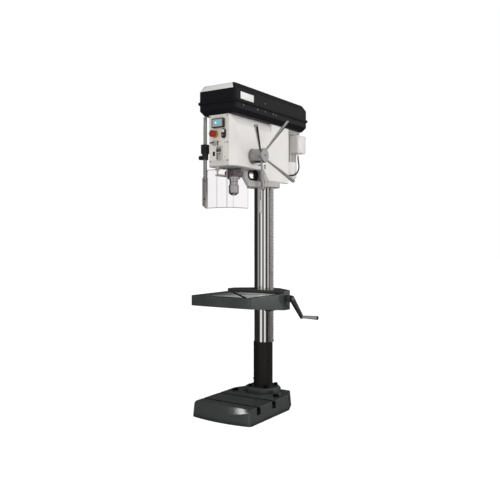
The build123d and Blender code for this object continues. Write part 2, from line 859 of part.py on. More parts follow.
# Side covers: hollow castings closed against the head's sides, the right one deeper behind the quill
with BuildPart() as side_cover_right:
    with BuildSketch(Plane.XY.offset(head_floor - cover_drop)):
        with BuildLine():
            Polyline(
                (head_half, panel_face), (cover_out, panel_face + cover_chamfer), (cover_out, cover_back),
                (head_half, cover_back), close=True,
            )
        make_face()
    extrude(amount=head_top - head_floor + cover_drop)
    with BuildSketch(Plane.YZ):
        with BuildLine():
            Polyline(
                (panel_face, head_floor), (-cover_drop_y, head_floor),
                (-cover_drop_y + cover_drop_run, head_floor - cover_drop),
                (panel_face, head_floor - cover_drop), close=True,
            )
        make_face()
    extrude(amount=2 * cover_out, mode=Mode.SUBTRACT)
    with BuildSketch(Plane.XZ.offset(facet_end)):
        with BuildLine():
            Polyline(
                (cover_out, head_top - facet_h), (cover_out + spare, head_top - facet_h),
                (cover_out + spare, head_top + spare), (cover_out - facet_in, head_top + spare),
                close=True,
            )
        make_face()
    extrude(amount=2 * head_front, mode=Mode.SUBTRACT)
    with BuildSketch(Plane.YZ.offset(head_half)):
        with BuildLine():
            Polyline(
                (panel_face + cover_chamfer, head_floor + cover_wall),
                (-cover_drop_y + cover_wall, head_floor + cover_wall),
                (-cover_drop_y + cover_drop_run + cover_wall, head_floor - cover_drop + cover_wall),
                (cover_back - cover_wall, head_floor - cover_drop + cover_wall),
                (cover_back - cover_wall, head_top - facet_h - cover_wall),
                (panel_face + cover_chamfer, head_top - facet_h - cover_wall), close=True,
            )
        make_face()
    extrude(amount=cover_out - head_half - cover_wall, mode=Mode.SUBTRACT)
    with BuildSketch(Plane.YZ.offset(head_half)):
        with Locations((feed_y, feed_z)):
            Circle(feed_shaft_r + gap)
    extrude(amount=cover_out, mode=Mode.SUBTRACT)
    side_edges = edges().filter_by(Axis.Y).filter_by(lambda edge: edge.center().X > cover_out - run)
    fillet(side_edges.filter_by(lambda edge: edge.length > cover_out), cover_wall)
side_cover_right.part.label = "side_cover_right"

with BuildPart() as side_cover_left:
    with BuildSketch(Plane.XY.offset(head_floor)):
        with BuildLine():
            Polyline(
                (-head_half, panel_face), (-cover_out, panel_face + cover_chamfer), (-cover_out, cover_back),
                (-head_half, cover_back), close=True,
            )
        make_face()
    extrude(amount=head_top - head_floor)
    with BuildSketch(Plane.XZ.offset(facet_end)):
        with BuildLine():
            Polyline(
                (-cover_out, head_top - facet_h), (-cover_out - spare, head_top - facet_h),
                (-cover_out - spare, head_top + spare), (-cover_out + facet_in, head_top + spare),
                close=True,
            )
        make_face()
    extrude(amount=2 * head_front, mode=Mode.SUBTRACT)
    with BuildSketch(Plane.YZ.offset(-head_half)):
        with Locations((panel_face + cover_chamfer, head_floor + cover_wall)):
            Rectangle(
                cover_back - cover_wall - panel_face - cover_chamfer,
                head_top - facet_h - 2 * cover_wall - head_floor, align=(Align.MIN, Align.MIN),
            )
    extrude(amount=-(cover_out - head_half - cover_wall), mode=Mode.SUBTRACT)
    with BuildSketch(Plane.YZ.offset(-head_half)):
        with Locations((feed_y, feed_z)):
            Circle(feed_shaft_r + gap)
    extrude(amount=-cover_out, mode=Mode.SUBTRACT)
side_cover_left.part.label = "side_cover_left"

with BuildPart() as spring_cup:
    with BuildSketch(Plane.YZ.offset(-cover_out)):
        with Locations((feed_y, feed_z)):
            Circle(spring_r)
    extrude(amount=-spring_w)
    fillet(faces().sort_by(Axis.X)[0].edges(), spring_w / 6)
    with BuildSketch(Plane.YZ.offset(-cover_out)):
        with Locations((feed_y, feed_z)):
            Circle(feed_shaft_r + gap)
    extrude(amount=-spring_w * 0.7, mode=Mode.SUBTRACT)
spring_cup.part.label = "spring_cup"

# Front panel with its cut-outs
with BuildPart() as front_panel:
    with BuildSketch(Plane.XZ.offset(head_front)):
        with Locations((0, panel_low)):
            Rectangle(2 * head_half, head_top - panel_low, align=(Align.CENTER, Align.MIN))
        with Locations((estop_x, estop_z)):
            Circle(estop_stem_r + gap, mode=Mode.SUBTRACT)
        with Locations((pair_x, pair_z - pair_step), (pair_x, pair_z + pair_step)):
            Circle(key_r + gap, mode=Mode.SUBTRACT)
        with Locations((selector_x, selector_z)):
            Circle(selector_r / 2 + run, mode=Mode.SUBTRACT)
        with Locations((socket_x, socket_z)):
            RectangleRounded(socket_w, socket_h, socket_corner, mode=Mode.SUBTRACT)
    extrude(amount=panel_t)
front_panel.part.label = "front_panel"

with BuildPart() as display_bezel:
    with BuildSketch(Plane.XZ.offset(-panel_face)):
        with Locations((display_x, display_z)):
            RectangleRounded(display_w, display_h, display_corner)
    extrude(amount=display_d)
    chamfer(faces().sort_by(Axis.Y)[0].edges(), display_edge)
    with BuildSketch(Plane.XZ.offset(-panel_face + display_d)):
        with Locations((display_x, display_z)):
            RectangleRounded(
                display_w - 2 * display_rim, display_h - 2 * display_rim, display_corner - display_edge
            )
    extrude(amount=-screen_t - screen_sunk, mode=Mode.SUBTRACT)
display_bezel.part.label = "display_bezel"

with BuildPart() as display_screen:
    with BuildSketch(Plane.XZ.offset(-panel_face + display_d - screen_t - screen_sunk)):
        with Locations((display_x, display_z)):
            RectangleRounded(
                display_w - 2 * display_rim - 2 * run, display_h - 2 * display_rim - 2 * run,
                display_corner - display_edge,
            )
    extrude(amount=screen_t)
display_screen.part.label = "display_screen"

with BuildPart() as readout_module:
    with BuildSketch(Plane.XZ.offset(-panel_face)):
        with Locations((readout_x, readout_z)):
            RectangleRounded(readout_w, readout_h, 2 * readout_edge)
    extrude(amount=readout_d)
    chamfer(faces().sort_by(Axis.Y)[0].edges(), readout_edge)
    with BuildSketch(Plane.XZ.offset(-panel_face + readout_d)):
        with Locations((readout_x, readout_z + readout_h * 0.22)):
            Rectangle(readout_w * 0.8, readout_h * 0.24)
    extrude(amount=-readout_edge, mode=Mode.SUBTRACT)
    with BuildSketch(Plane.XZ.offset(-panel_face + readout_d)):
        with Locations((readout_x, readout_z - readout_h * 0.22)):
            with GridLocations(readout_w * 0.42, readout_h * 0.15, 2, 3):
                RectangleRounded(readout_w * 0.28, readout_h * 0.09, readout_edge)
    extrude(amount=readout_edge)
readout_module.part.label = "readout_module"

with BuildPart() as estop_collar:
    with BuildSketch(Plane.XZ.offset(-panel_face)):
        with Locations((estop_x, estop_z)):
            Circle(estop_collar_r)
            Circle(estop_stem_r + gap, mode=Mode.SUBTRACT)
    extrude(amount=estop_collar_d)
    chamfer(faces().sort_by(Axis.Y)[0].outer_wire().edges(), estop_edge)
estop_collar.part.label = "estop_collar"

estop_cap_y = panel_face - estop_collar_d - estop_travel - gap
with BuildPart() as estop_button:
    with BuildSketch(Plane.XZ.offset(-estop_cap_y)):
        with Locations((estop_x, estop_z)):
            Circle(estop_r)
    extrude(amount=estop_cap)
    fillet(faces().sort_by(Axis.Y)[0].edges(), estop_cap / 3)
    with BuildSketch(Plane.XZ.offset(head_front)):
        with Locations((estop_x, estop_z)):
            Circle(estop_stem_r)
    extrude(amount=-estop_cap_y - head_front + spare)
estop_button.part.label = "estop_button"

with BuildPart() as button_housing:
    with BuildSketch(Plane.XZ.offset(-panel_face)):
        with Locations((pair_x, pair_z)):
            SlotOverall(pair_h, pair_w, rotation=90)
        with Locations((pair_x, pair_z - pair_step), (pair_x, pair_z + pair_step)):
            Circle(key_r + gap, mode=Mode.SUBTRACT)
    extrude(amount=pair_d)
    chamfer(faces().sort_by(Axis.Y)[0].outer_wire().edges(), pair_edge)
button_housing.part.label = "button_housing"

with BuildPart() as start_button:
    with BuildSketch(Plane.XZ.offset(head_front)):
        with Locations((pair_x, pair_z + pair_step)):
            Circle(key_r)
    extrude(amount=panel_t + pair_d + start_rise)
    fillet(faces().sort_by(Axis.Y)[0].edges(), key_edge)
start_button.part.label = "start_button"

with BuildPart() as stop_button:
    with BuildSketch(Plane.XZ.offset(head_front)):
        with Locations((pair_x, pair_z - pair_step)):
            Circle(key_r)
    extrude(amount=panel_t + pair_d + stop_rise)
    fillet(faces().sort_by(Axis.Y)[0].edges(), key_edge)
stop_button.part.label = "stop_button"

with BuildPart() as selector_knob:
    with BuildSketch(Plane.XZ.offset(-panel_face + gap)):
        with Locations((selector_x, selector_z)):
            Circle(selector_r)
    extrude(amount=selector_d)
    with BuildSketch(Plane.XZ.offset(-panel_face + gap + selector_d)):
        with Locations((selector_x, selector_z)):
            RectangleRounded(2 * (selector_r - spare), selector_bar, selector_bar / 3)
    extrude(amount=selector_rise)
    with BuildSketch(Plane.XZ.offset(head_front)):
        with Locations((selector_x, selector_z)):
            Circle(selector_r / 2)
    extrude(amount=panel_t + gap)
selector_knob.part.label = "selector_knob"

# Quill with its rack, collar and depth rod
with BuildPart() as quill:
    with BuildSketch(Plane.XY.offset(quill_low)):
        with Locations((0, quill_y)):
            Circle(quill_r)
            Circle(spindle_r + run, mode=Mode.SUBTRACT)
    extrude(amount=quill_top - quill_low)
    with BuildSketch(Plane.YZ):
        lowest = -int((feed_z - head_floor) / (pi * feed_module)) + 2
        highest = int((quill_top - feed_z) / (pi * feed_module))
        for tooth in range(lowest, highest + 1):
            with Locations((quill_y + quill_pitch, feed_z + tooth * pi * feed_module)):
                add(rack_gap(feed_module))
    extrude(amount=quill_rack_w / 2, both=True, mode=Mode.SUBTRACT)
quill.part.label = "quill"

ring_low = quill_low + collar_ring_up
with BuildPart() as quill_collar:
    with BuildSketch(Plane.XY.offset(ring_low)):
        with Locations((0, quill_y)):
            Circle(collar_ring_r)
    extrude(amount=collar_ring_h)
    chamfer(edges().filter_by(GeomType.CIRCLE), collar_ring_edge)
    with BuildSketch(Plane.XY.offset(ring_low)):
        with Locations((depth_x * 0.4, quill_y - arm_end_r)):
            Circle(arm_end_r * 1.6)
        with Locations((depth_x, depth_y)):
            Circle(arm_end_r)
        make_hull()
    extrude(amount=arm_t)
    with BuildSketch(Plane.XY.offset(ring_low)):
        with Locations((0, quill_y)):
            Circle(quill_r)
        with Locations((depth_x, depth_y)):
            Circle(depth_r)
    extrude(amount=collar_ring_h, mode=Mode.SUBTRACT)
quill_collar.part.label = "quill_collar"

with BuildPart() as depth_rod:
    with BuildSketch(Plane.XY.offset(ring_low)):
        with Locations((depth_x, depth_y)):
            Circle(depth_r)
    extrude(amount=depth_len)
depth_rod.part.label = "depth_rod"

with BuildPart() as spindle:
    with BuildSketch(Plane.XY.offset(chuck_top)):
        with Locations((0, quill_y)):
            Circle(nose_r)
    extrude(amount=nose_h - gap)
    with BuildSketch(Plane.XY.offset(chuck_top)):
        with Locations((0, quill_y)):
            Circle(spindle_r)
    extrude(amount=quill_top - chuck_top)
    with BuildSketch(Plane.XY.offset(quill_top)):
        with Locations((0, quill_y)):
            Circle(spline_r)
    extrude(amount=spindle_top - quill_top)
spindle.part.label = "spindle"

# Keyless chuck: body with three slanting slots, turning sleeve and jaws
jaw_planes = []
for jaw in range(3):
    around = radians(90 + 120 * jaw)
    outward = Vector(cos(around), sin(around), 0)
    lift = Vector(0, 0, 1) * cos(radians(jaw_tilt)) + outward * sin(radians(jaw_tilt))
    tangent = Vector(-sin(around), cos(around), 0)
    jaw_planes.append(Plane(Vector(0, quill_y, chuck_low) + outward * jaw_foot_r, x_dir=tangent, z_dir=lift))

with BuildPart() as chuck_body:
    with BuildSketch(Plane((0, quill_y, chuck_low), x_dir=(1, 0, 0), z_dir=(0, -1, 0))):
        with BuildLine():
            Polyline(
                (0, spare), (chuck_core_r * 0.72, spare), (chuck_core_r, chuck_nose_h),
                (chuck_core_r, chuck_h - chuck_neck_h), (chuck_neck_r, chuck_h - chuck_neck_h),
                (chuck_neck_r, chuck_h - chuck_edge), (chuck_neck_r - chuck_edge, chuck_h), (0, chuck_h),
                close=True,
            )
        make_face()
    revolve(axis=Axis((0, quill_y, 0), (0, 0, 1)))
    with BuildSketch(Plane.XY.offset(chuck_low)):
        with Locations((0, quill_y)):
            Circle(jaw_foot_r + jaw_d / 2)
    extrude(amount=jaw_len, mode=Mode.SUBTRACT)
    for jaw_plane in jaw_planes:
        with BuildSketch(jaw_plane.offset(-chuck_nose_h)):
            Rectangle(jaw_w + 2 * gap, jaw_d + 2 * gap)
        extrude(amount=jaw_len + jaw_travel + chuck_nose_h + spare, mode=Mode.SUBTRACT)
chuck_body.part.label = "chuck_body"

with BuildPart() as chuck_sleeve:
    with BuildSketch(Plane((0, quill_y, chuck_low), x_dir=(1, 0, 0), z_dir=(0, -1, 0))):
        with BuildLine():
            Polyline(
                (chuck_core_r + run, chuck_nose_h), (chuck_core_r + run, chuck_nose_h / 2),
                (chuck_r, chuck_nose_h + chuck_edge), (chuck_r, chuck_h - chuck_neck_h - chuck_edge),
                (chuck_r - chuck_edge, chuck_h - chuck_neck_h - gap),
                (chuck_core_r + run, chuck_h - chuck_neck_h - gap), close=True,
            )
        make_face()
    revolve(axis=Axis((0, quill_y, 0), (0, 0, 1)))
    with BuildSketch(Plane.XY.offset(chuck_low + chuck_nose_h + 2 * chuck_edge)):
        with Locations((0, quill_y)):
            with PolarLocations(chuck_r + grip_groove_r / 2, grip_grooves):
                Circle(grip_groove_r)
    extrude(amount=chuck_h - chuck_neck_h - chuck_nose_h - 5 * chuck_edge, mode=Mode.SUBTRACT)
chuck_sleeve.part.label = "chuck_sleeve"

jaw_parts = []
for number, jaw_plane in enumerate(jaw_planes, start=1):
    with BuildPart() as jaw_part:
        with BuildSketch(jaw_plane):
            Rectangle(jaw_w, jaw_d)
        extrude(amount=jaw_len)
        chamfer(faces().sort_by(Axis.Z)[0].edges(), jaw_edge)
    jaw_part.part.label = f"chuck_jaw_{number}"
    jaw_parts.append(jaw_part)

# Feed shaft, hub and levers
with BuildPart() as feed_shaft:
    with BuildSketch(Plane.YZ.offset(-cover_out - spring_w * 0.6)):
        with Locations((feed_y, feed_z)):
            Circle(feed_shaft_r)
    extrude(amount=hub_x + hub_len * 0.6 + cover_out + spring_w * 0.6)
    with BuildSketch(Plane.YZ.offset(-feed_face)):
        with Locations((feed_y, feed_z)):
            add(gear_section(feed_teeth, feed_module, 180))
    extrude(amount=2 * feed_face)
feed_shaft.part.label = "feed_shaft"

lever_run = lever_tip_x - lever_x
lever_rise = lever_tip - lever_in
lever_len = hypot(lever_run, lever_rise)
lever_planes = []
for lever in range(lever_count):
    angle = radians(lever_phase + 360 * lever / lever_count)
    spoke = Vector(0, cos(angle), sin(angle))
    aim = (Vector(1, 0, 0) * lever_run + spoke * lever_rise).normalized()
    lever_planes.append(Plane(Vector(lever_x, feed_y, feed_z) + spoke * lever_in, z_dir=aim))

with BuildPart() as feed_hub:
    with BuildSketch(Plane.YZ.offset(hub_x)):
        with Locations((feed_y, feed_z)):
            Circle(hub_r)
    extrude(amount=hub_len)
    chamfer(faces().sort_by(Axis.X)[-1].edges(), hub_edge)
    with BuildSketch(Plane.YZ.offset(hub_x)):
        with Locations((feed_y, feed_z)):
            Circle(hub_flange_r)
    extrude(amount=hub_flange_t)
    with BuildSketch(Plane.YZ.offset(hub_x)):
        with Locations((feed_y, feed_z)):
            Circle(feed_shaft_r)
    extrude(amount=hub_len * 0.6, mode=Mode.SUBTRACT)
    with BuildSketch(Plane.YZ.offset(hub_end)):
        with Locations((feed_y, feed_z)):
            Circle(hub_eye_r)
    extrude(amount=-hub_eye_d, mode=Mode.SUBTRACT)
    for lever_plane in lever_planes:
        with BuildSketch(lever_plane):
            Circle(lever_root_r)
        extrude(amount=hub_r, mode=Mode.SUBTRACT)
feed_hub.part.label = "feed_hub"

with BuildPart() as feed_levers:
    for lever_plane in lever_planes:
        with Locations(Location(lever_plane)):
            Cylinder(lever_root_r, 0.25 * lever_len, align=low_edge)
        with Locations(Location(lever_plane.offset(0.25 * lever_len))):
            Cone(lever_root_r, lever_end_r, 0.75 * lever_len - lever_nose, align=low_edge)
        with Locations(Location(lever_plane.offset(lever_len - lever_nose))):
            Cone(lever_end_r, lever_end_r * 0.55, lever_nose, align=low_edge)
feed_levers.part.label = "feed_levers"

# Belt cover: tray and hinged lid with bevelled edges and a rim at the seam
with BuildPart() as belt_tray:
    with BuildSketch(Plane.XY.offset(tray_z)):
        with Locations((0, box_cy)):
            RectangleRounded(box_w - 2 * box_inset, box_len - 2 * box_inset, box_corner)
    with BuildSketch(Plane.XY.offset(tray_z + tray_bevel)):
        with Locations((0, box_cy)):
            RectangleRounded(box_w, box_len, box_corner)
    loft()
    with BuildSketch(Plane.XY.offset(tray_z + tray_bevel)):
        with Locations((0, box_cy)):
            RectangleRounded(box_w, box_len, box_corner)
    extrude(amount=tray_h - tray_bevel)
    offset(amount=-box_wall, openings=faces().sort_by(Axis.Z)[-1])
    with BuildSketch(Plane.XY.offset(seam_z - rim_t)):
        with Locations((0, box_cy)):
            RectangleRounded(box_w + 2 * rim_out, box_len + 2 * rim_out, box_corner + rim_out)
            RectangleRounded(
                box_w - 2 * box_wall, box_len - 2 * box_wall, box_corner - box_wall, mode=Mode.SUBTRACT
            )
    extrude(amount=rim_t)
    with BuildSketch(Plane.XY.offset(tray_z - spare)):
        with Locations((0, quill_y)):
            Circle(sleeve_r + shaft_room)
        with Locations((0, motor_y)):
            Circle(motor_shaft_r + shaft_room)
    extrude(amount=box_wall + 2 * spare, mode=Mode.SUBTRACT)
belt_tray.part.label = "belt_tray"

with BuildPart() as lid:
    with BuildSketch(Plane.XY.offset(lid_z)):
        with Locations((0, box_cy)):
            RectangleRounded(box_w, box_len, box_corner)
    extrude(amount=lid_h - lid_bevel)
    with BuildSketch(Plane.XY.offset(lid_z + lid_h - lid_bevel)):
        with Locations((0, box_cy)):
            RectangleRounded(box_w, box_len, box_corner)
    with BuildSketch(Plane.XY.offset(lid_z + lid_h)):
        with Locations((0, box_cy)):
            RectangleRounded(box_w - 2 * box_inset, box_len - 2 * box_inset, box_corner)
    loft()
    offset(amount=-box_wall, openings=faces().sort_by(Axis.Z)[0])
    with BuildSketch(Plane.XY.offset(lid_z)):
        with Locations((0, box_cy)):
            RectangleRounded(box_w + 2 * rim_out, box_len + 2 * rim_out, box_corner + rim_out)
            RectangleRounded(
                box_w - 2 * box_wall, box_len - 2 * box_wall, box_corner - box_wall, mode=Mode.SUBTRACT
            )
    extrude(amount=rim_t)
lid.part.label = "lid"

# Lid hinges on the left rim: pins and middle knuckles below, outer knuckles above
hinge_x = -(box_w / 2 + rim_out + hinge_out)
hinge_z = seam_z + seam / 2
with BuildPart() as lid_hinge_base:
    for hinge_y in (hinge_front, hinge_back):
        with BuildSketch(Plane.XZ.offset(-hinge_y + hinge_mid / 2)):
            with Locations((hinge_x, hinge_z)):
                Circle(hinge_r)
        extrude(amount=-hinge_mid)
        with BuildSketch(Plane.XZ.offset(-hinge_y + hinge_mid / 2 + hinge_side)):
            with Locations((hinge_x, hinge_z)):
                Circle(hinge_pin_r)
        extrude(amount=-hinge_mid - 2 * hinge_side)
        with Locations((hinge_x, hinge_y, seam_z - rim_t)):
            Box(
                hinge_out + rim_out, hinge_mid, hinge_leaf,
                align=(Align.MIN, Align.CENTER, Align.MAX),
            )
lid_hinge_base.part.label = "lid_hinge_base"

with BuildPart() as lid_hinge_leaves:
    for hinge_y in (hinge_front, hinge_back):
        for end in (-1, 1):
            middle = hinge_y + end * (hinge_mid + hinge_side) / 2 + end * gap
            with BuildSketch(Plane.XZ.offset(-middle + hinge_side / 2)):
                with Locations((hinge_x, hinge_z)):
                    Circle(hinge_r)
                    Circle(hinge_pin_r + run, mode=Mode.SUBTRACT)
            extrude(amount=-hinge_side)
            with Locations((hinge_x, middle, lid_z + rim_t)):
                Box(
                    hinge_out + rim_out, hinge_side, hinge_leaf,
                    align=(Align.MIN, Align.CENTER, Align.MIN),
                )
lid_hinge_leaves.part.label = "lid_hinge_leaves"

# Drive pulley on its sleeve, belt and motor pulley
with BuildPart() as drive_pulley:
    with Locations((0, quill_y, sleeve_low)):
        Cylinder(sleeve_r - run, pulley_top + sleeve_stub - sleeve_low, align=low_edge)
    with Locations((0, quill_y, pulley_z)):
        Cylinder(drive_groove + pulley_lip, pulley_lip_t, align=low_edge)
        Cylinder(drive_groove, pulley_top - pulley_z, align=low_edge)
    with Locations((0, quill_y, pulley_top)):
        Cylinder(drive_groove + pulley_lip, pulley_lip_t, align=top_edge)
    with Locations((0, quill_y, sleeve_low)):
        Cylinder(spline_r + run, spindle_top - sleeve_low, align=low_edge, mode=Mode.SUBTRACT)
drive_pulley.part.label = "drive_pulley"

with BuildPart() as motor_pulley:
    with Locations((0, motor_y, motor_top - motor_shaft_in)):
        Cylinder(motor_shaft_r, pulley_top + shaft_room - motor_top + motor_shaft_in, align=low_edge)
    with Locations((0, motor_y, pulley_z)):
        Cylinder(motor_groove + pulley_lip, pulley_lip_t, align=low_edge)
        Cylinder(motor_groove, pulley_top - pulley_z, align=low_edge)
    with Locations((0, motor_y, pulley_top)):
        Cylinder(motor_groove + pulley_lip, pulley_lip_t, align=top_edge)
motor_pulley.part.label = "motor_pulley"

with BuildPart() as drive_belt:
    with BuildSketch(Plane.XY.offset(pulley_z + pulley_lip_t + gap)):
        with Locations((0, quill_y)):
            Circle(drive_groove + gap + belt_t)
        with Locations((0, motor_y)):
            Circle(motor_groove + gap + belt_t)
        make_hull()
    extrude(amount=belt_w - 2 * gap)
    with BuildSketch(Plane.XY.offset(pulley_z)):
        with Locations((0, quill_y)):
            Circle(drive_groove + gap)
        with Locations((0, motor_y)):
            Circle(motor_groove + gap)
        make_hull()
    extrude(amount=2 * belt_w, mode=Mode.SUBTRACT)
drive_belt.part.label = "drive_belt"

with BuildPart() as motor_plate:
    with BuildSketch(Plane.XY.offset(plate_low)):
        with Locations((0, cover_back + gap)):
            Rectangle(2 * plate_half, plate_back - cover_back - gap, align=(Align.CENTER, Align.MIN))
        fillet(vertices().group_by(Axis.Y)[-1], plate_half / 3)
        with Locations((0, plate_front)):
            Rectangle(2 * head_half, motor_y - plate_front, align=(Align.CENTER, Align.MIN))
        with Locations((0, motor_y)):
            Circle(motor_shaft_r + shaft_room, mode=Mode.SUBTRACT)
    extrude(amount=head_plate_step)
motor_plate.part.label = "motor_plate"

# Motor: finned body under the plate, with its fan cowl and junction box
with BuildPart() as motor_body:
    with Locations((0, motor_y, motor_low)):
        Cylinder(motor_r, motor_len, align=low_edge)
        with PolarLocations(motor_r, motor_fins):
            Box(2 * motor_fin, motor_fin_t, motor_len - motor_flange_t, align=low_edge)
    with Locations((0, motor_y, motor_top)):
        Cylinder(motor_flange_r, motor_flange_t, align=top_edge)
        Cylinder(motor_shaft_r + run, motor_shaft_in + 2 * spare, align=top_edge, mode=Mode.SUBTRACT)
    with Locations((motor_r - jbox_in, motor_y + jbox_back, motor_top - jbox_drop)):
        Box(motor_r, jbox_w, jbox_h, align=(Align.MIN, Align.CENTER, Align.MAX), mode=Mode.SUBTRACT)
motor_body.part.label = "motor_body"

with BuildPart() as motor_cowl:
    with Locations((0, motor_y, motor_low)):
        Cylinder(cowl_r, cowl_len, align=top_edge)
    chamfer(faces().sort_by(Axis.Z)[0].edges(), cowl_chamfer)
    with BuildSketch(Plane.XY.offset(motor_low - cowl_len)):
        with Locations((0, motor_y)):
            with PolarLocations(cowl_r * 0.42, cowl_slots):
                SlotOverall(cowl_r * 0.42, cowl_slot_w)
    extrude(amount=cowl_slot_d, mode=Mode.SUBTRACT)
motor_cowl.part.label = "motor_cowl"

with BuildPart() as junction_box:
    with Locations((motor_r - jbox_in, motor_y + jbox_back, motor_top - jbox_drop)):
        Box(jbox_out - motor_r + jbox_in, jbox_w, jbox_h, align=(Align.MIN, Align.CENTER, Align.MAX))
    fillet(faces().sort_by(Axis.X)[-1].edges(), jbox_corner)
    with Locations((0, motor_y, motor_low)):
        Cylinder(motor_r, motor_len, align=low_edge, mode=Mode.SUBTRACT)
junction_box.part.label = "junction_box"

# Cable from the junction box down into the right cover's rear
jbox_low = motor_top - jbox_drop - jbox_h
cable_from = (gland_y, jbox_low - gland_h)
cable_to = (cover_back + inlet_h, cable_z)
cable_shape = ((0, 0), (0, 0.2), (-0.1, 0.42), (-0.06, 0.66), (0.18, 0.9), (0.6, 1), (1, 1))
cable_points = [
    (
        gland_x,
        cable_from[0] + along * (cable_to[0] - cable_from[0]),
        cable_from[1] + down * (cable_to[1] - cable_from[1]),
    )
    for along, down in cable_shape
]
cable_runs = [Vector(*b) - Vector(*a) for a, b in zip(cable_points, cable_points[1:])]
cable_radii = []
for one, two in zip(cable_runs, cable_runs[1:]):
    cable_radii.append(0.45 * min(one.length, two.length) / tan(radians(one.get_angle(two)) / 2))
with BuildPart() as motor_cable:
    with BuildLine() as cable_path:
        FilletPolyline(*cable_points, radius=cable_radii)
    with BuildSketch(Plane(cable_path.line @ 0, z_dir=cable_path.line % 0)):
        Circle(cable_r)
    sweep(path=cable_path.line)
motor_cable.part.label = "motor_cable"
cable_len = sum(edge.length for edge in cable_path.edges())
print("cable length", round(cable_len, 1), "radii", [round(r, 1) for r in cable_radii])
print("cable volume", round(motor_cable.part.volume), "expected", round(pi * cable_r**2 * cable_len))

with BuildPart() as cable_glands:
    with BuildSketch(Plane.XY.offset(jbox_low)):
        with Locations((gland_x, gland_y)):
            RegularPolygon(gland_r, 6)
    extrude(amount=-gland_h * 0.5)
    with BuildSketch(Plane.XY.offset(jbox_low)):
        with Locations((gland_x, gland_y)):
            Circle(gland_r * 0.75)
    extrude(amount=-gland_h)
    with BuildSketch(Plane.XZ.offset(-cover_back - inlet_h)):
        with Locations((gland_x, cable_z)):
            Circle(gland_r * 0.85)
    extrude(amount=inlet_h)
cable_glands.part.label = "cable_glands"

# Chuck guard: switch box on the left cover, swing collar, rod, channel and clear shield
with BuildPart() as guard_switch_box:
    with Locations((-cover_out, guard_y, guard_box_low)):
        Box(guard_box_w, guard_box_d, guard_box_h, align=(Align.MAX, Align.CENTER, Align.MIN))
    fillet(edges().filter_by(Axis.Z).group_by(Axis.X)[0], guard_box_corner)
    with Locations((guard_x, guard_y, guard_box_low)):
        Cylinder(guard_rod_r + gap, guard_box_h, align=low_edge, mode=Mode.SUBTRACT)
guard_switch_box.part.label = "guard_switch_box"

collar_top = guard_box_low - gap
with BuildPart() as guard_collar:
    with Locations((guard_x, guard_y, collar_top)):
        Cylinder(guard_collar_r, guard_collar_h, align=top_edge)
        Cylinder(guard_rod_r + run, guard_collar_h, align=top_edge, mode=Mode.SUBTRACT)
    with BuildSketch(Plane.YZ.offset(guard_x - guard_rod_r + guard_screw_in)):
        with Locations((guard_y, guard_knob_z)):
            Circle(guard_screw_r + run)
    extrude(amount=-guard_collar_r, mode=Mode.SUBTRACT)
guard_collar.part.label = "guard_collar"

with BuildPart() as guard_knob:
    with BuildSketch(Plane.YZ.offset(guard_x - guard_collar_r - gap)):
        with Locations((guard_y, guard_knob_z)):
            Circle(guard_knob_r)
            with PolarLocations(guard_knob_r + guard_flute_r / 2, guard_knob_flutes):
                Circle(guard_flute_r, mode=Mode.SUBTRACT)
    extrude(amount=-guard_knob_d)
    with BuildSketch(Plane.YZ.offset(guard_x - guard_rod_r - gap)):
        with Locations((guard_y, guard_knob_z)):
            Circle(guard_screw_r)
    extrude(amount=-guard_collar_r + guard_rod_r - guard_screw_in)
guard_knob.part.label = "guard_knob"

with BuildPart() as guard_rod:
    with Locations((guard_x, guard_y, guard_bar_top)):
        Cylinder(guard_rod_r, guard_rod_top - guard_bar_top, align=low_edge)
    chamfer(faces().sort_by(Axis.Z)[-1].edges(), guard_rod_edge)
guard_rod.part.label = "guard_rod"

bar_right = guard_x + guard_bar_w / 2
with BuildPart() as guard_channel:
    with BuildSketch(Plane.XY.offset(guard_low)):
        with Locations((guard_x, guard_y)):
            RectangleRounded(guard_bar_w, guard_bar_d, guard_bar_corner)
        with Locations((bar_right, guard_y)):
            Rectangle(shield_grip, shield_t, align=(Align.MAX, Align.CENTER), mode=Mode.SUBTRACT)
    extrude(amount=guard_bar_top - guard_low)
    with BuildSketch(Plane.XZ.offset(-guard_y - guard_bar_d)):
        with BuildLine():
            Polyline(
                (guard_x - guard_bar_w, guard_low - spare), (bar_right + spare, guard_low - spare),
                (guard_x - guard_bar_w, guard_low + guard_bar_w), close=True,
            )
        make_face()
    extrude(amount=2 * guard_bar_d, mode=Mode.SUBTRACT)
guard_channel.part.label = "guard_channel"

with BuildPart() as guard_shield:
    with BuildSketch(Plane.XY.offset(guard_low)):
        with BuildLine():
            Polyline(
                (bar_right - shield_grip + shield_t / 2, guard_y), (bar_right + shield_step, guard_y),
                *[(guard_x + across, guard_y + back) for across, back in shield_bends],
            )
        trace(line_width=shield_t)
    extrude(amount=guard_high - guard_low)
    with Locations((guard_x, guard_y, guard_bar_top)):
        Box(
            guard_bar_w + shield_step, 2 * guard_bar_d, guard_high - guard_bar_top + spare,
            align=low_edge, mode=Mode.SUBTRACT,
        )
guard_shield.part.label = "guard_shield"

pieces = [
    base_casting, levelling_screws, column_flange, flange_screws, column_tube, lower_sleeve,
    rack_bar, table_casting, gear_cover, crank_shaft, pinion_shaft, crank_arm, crank_grip, table_clamp,
    head_casting, lift_hole_trim, side_cover_right, side_cover_left, spring_cup, front_panel,
    display_bezel, display_screen, readout_module, estop_collar, estop_button, button_housing,
    start_button, stop_button, selector_knob, quill, quill_collar, depth_rod, spindle, chuck_body,
    chuck_sleeve, *jaw_parts, feed_shaft, feed_hub, feed_levers, belt_tray, lid, lid_hinge_base,
    lid_hinge_leaves, drive_pulley, motor_pulley, drive_belt, motor_plate, motor_body, motor_cowl,
    junction_box, motor_cable, cable_glands, guard_switch_box, guard_collar, guard_knob, guard_rod,
    guard_channel, guard_shield,
]
for piece in pieces:
    export_step(piece.part, f"parts/{piece.part.label}.step")
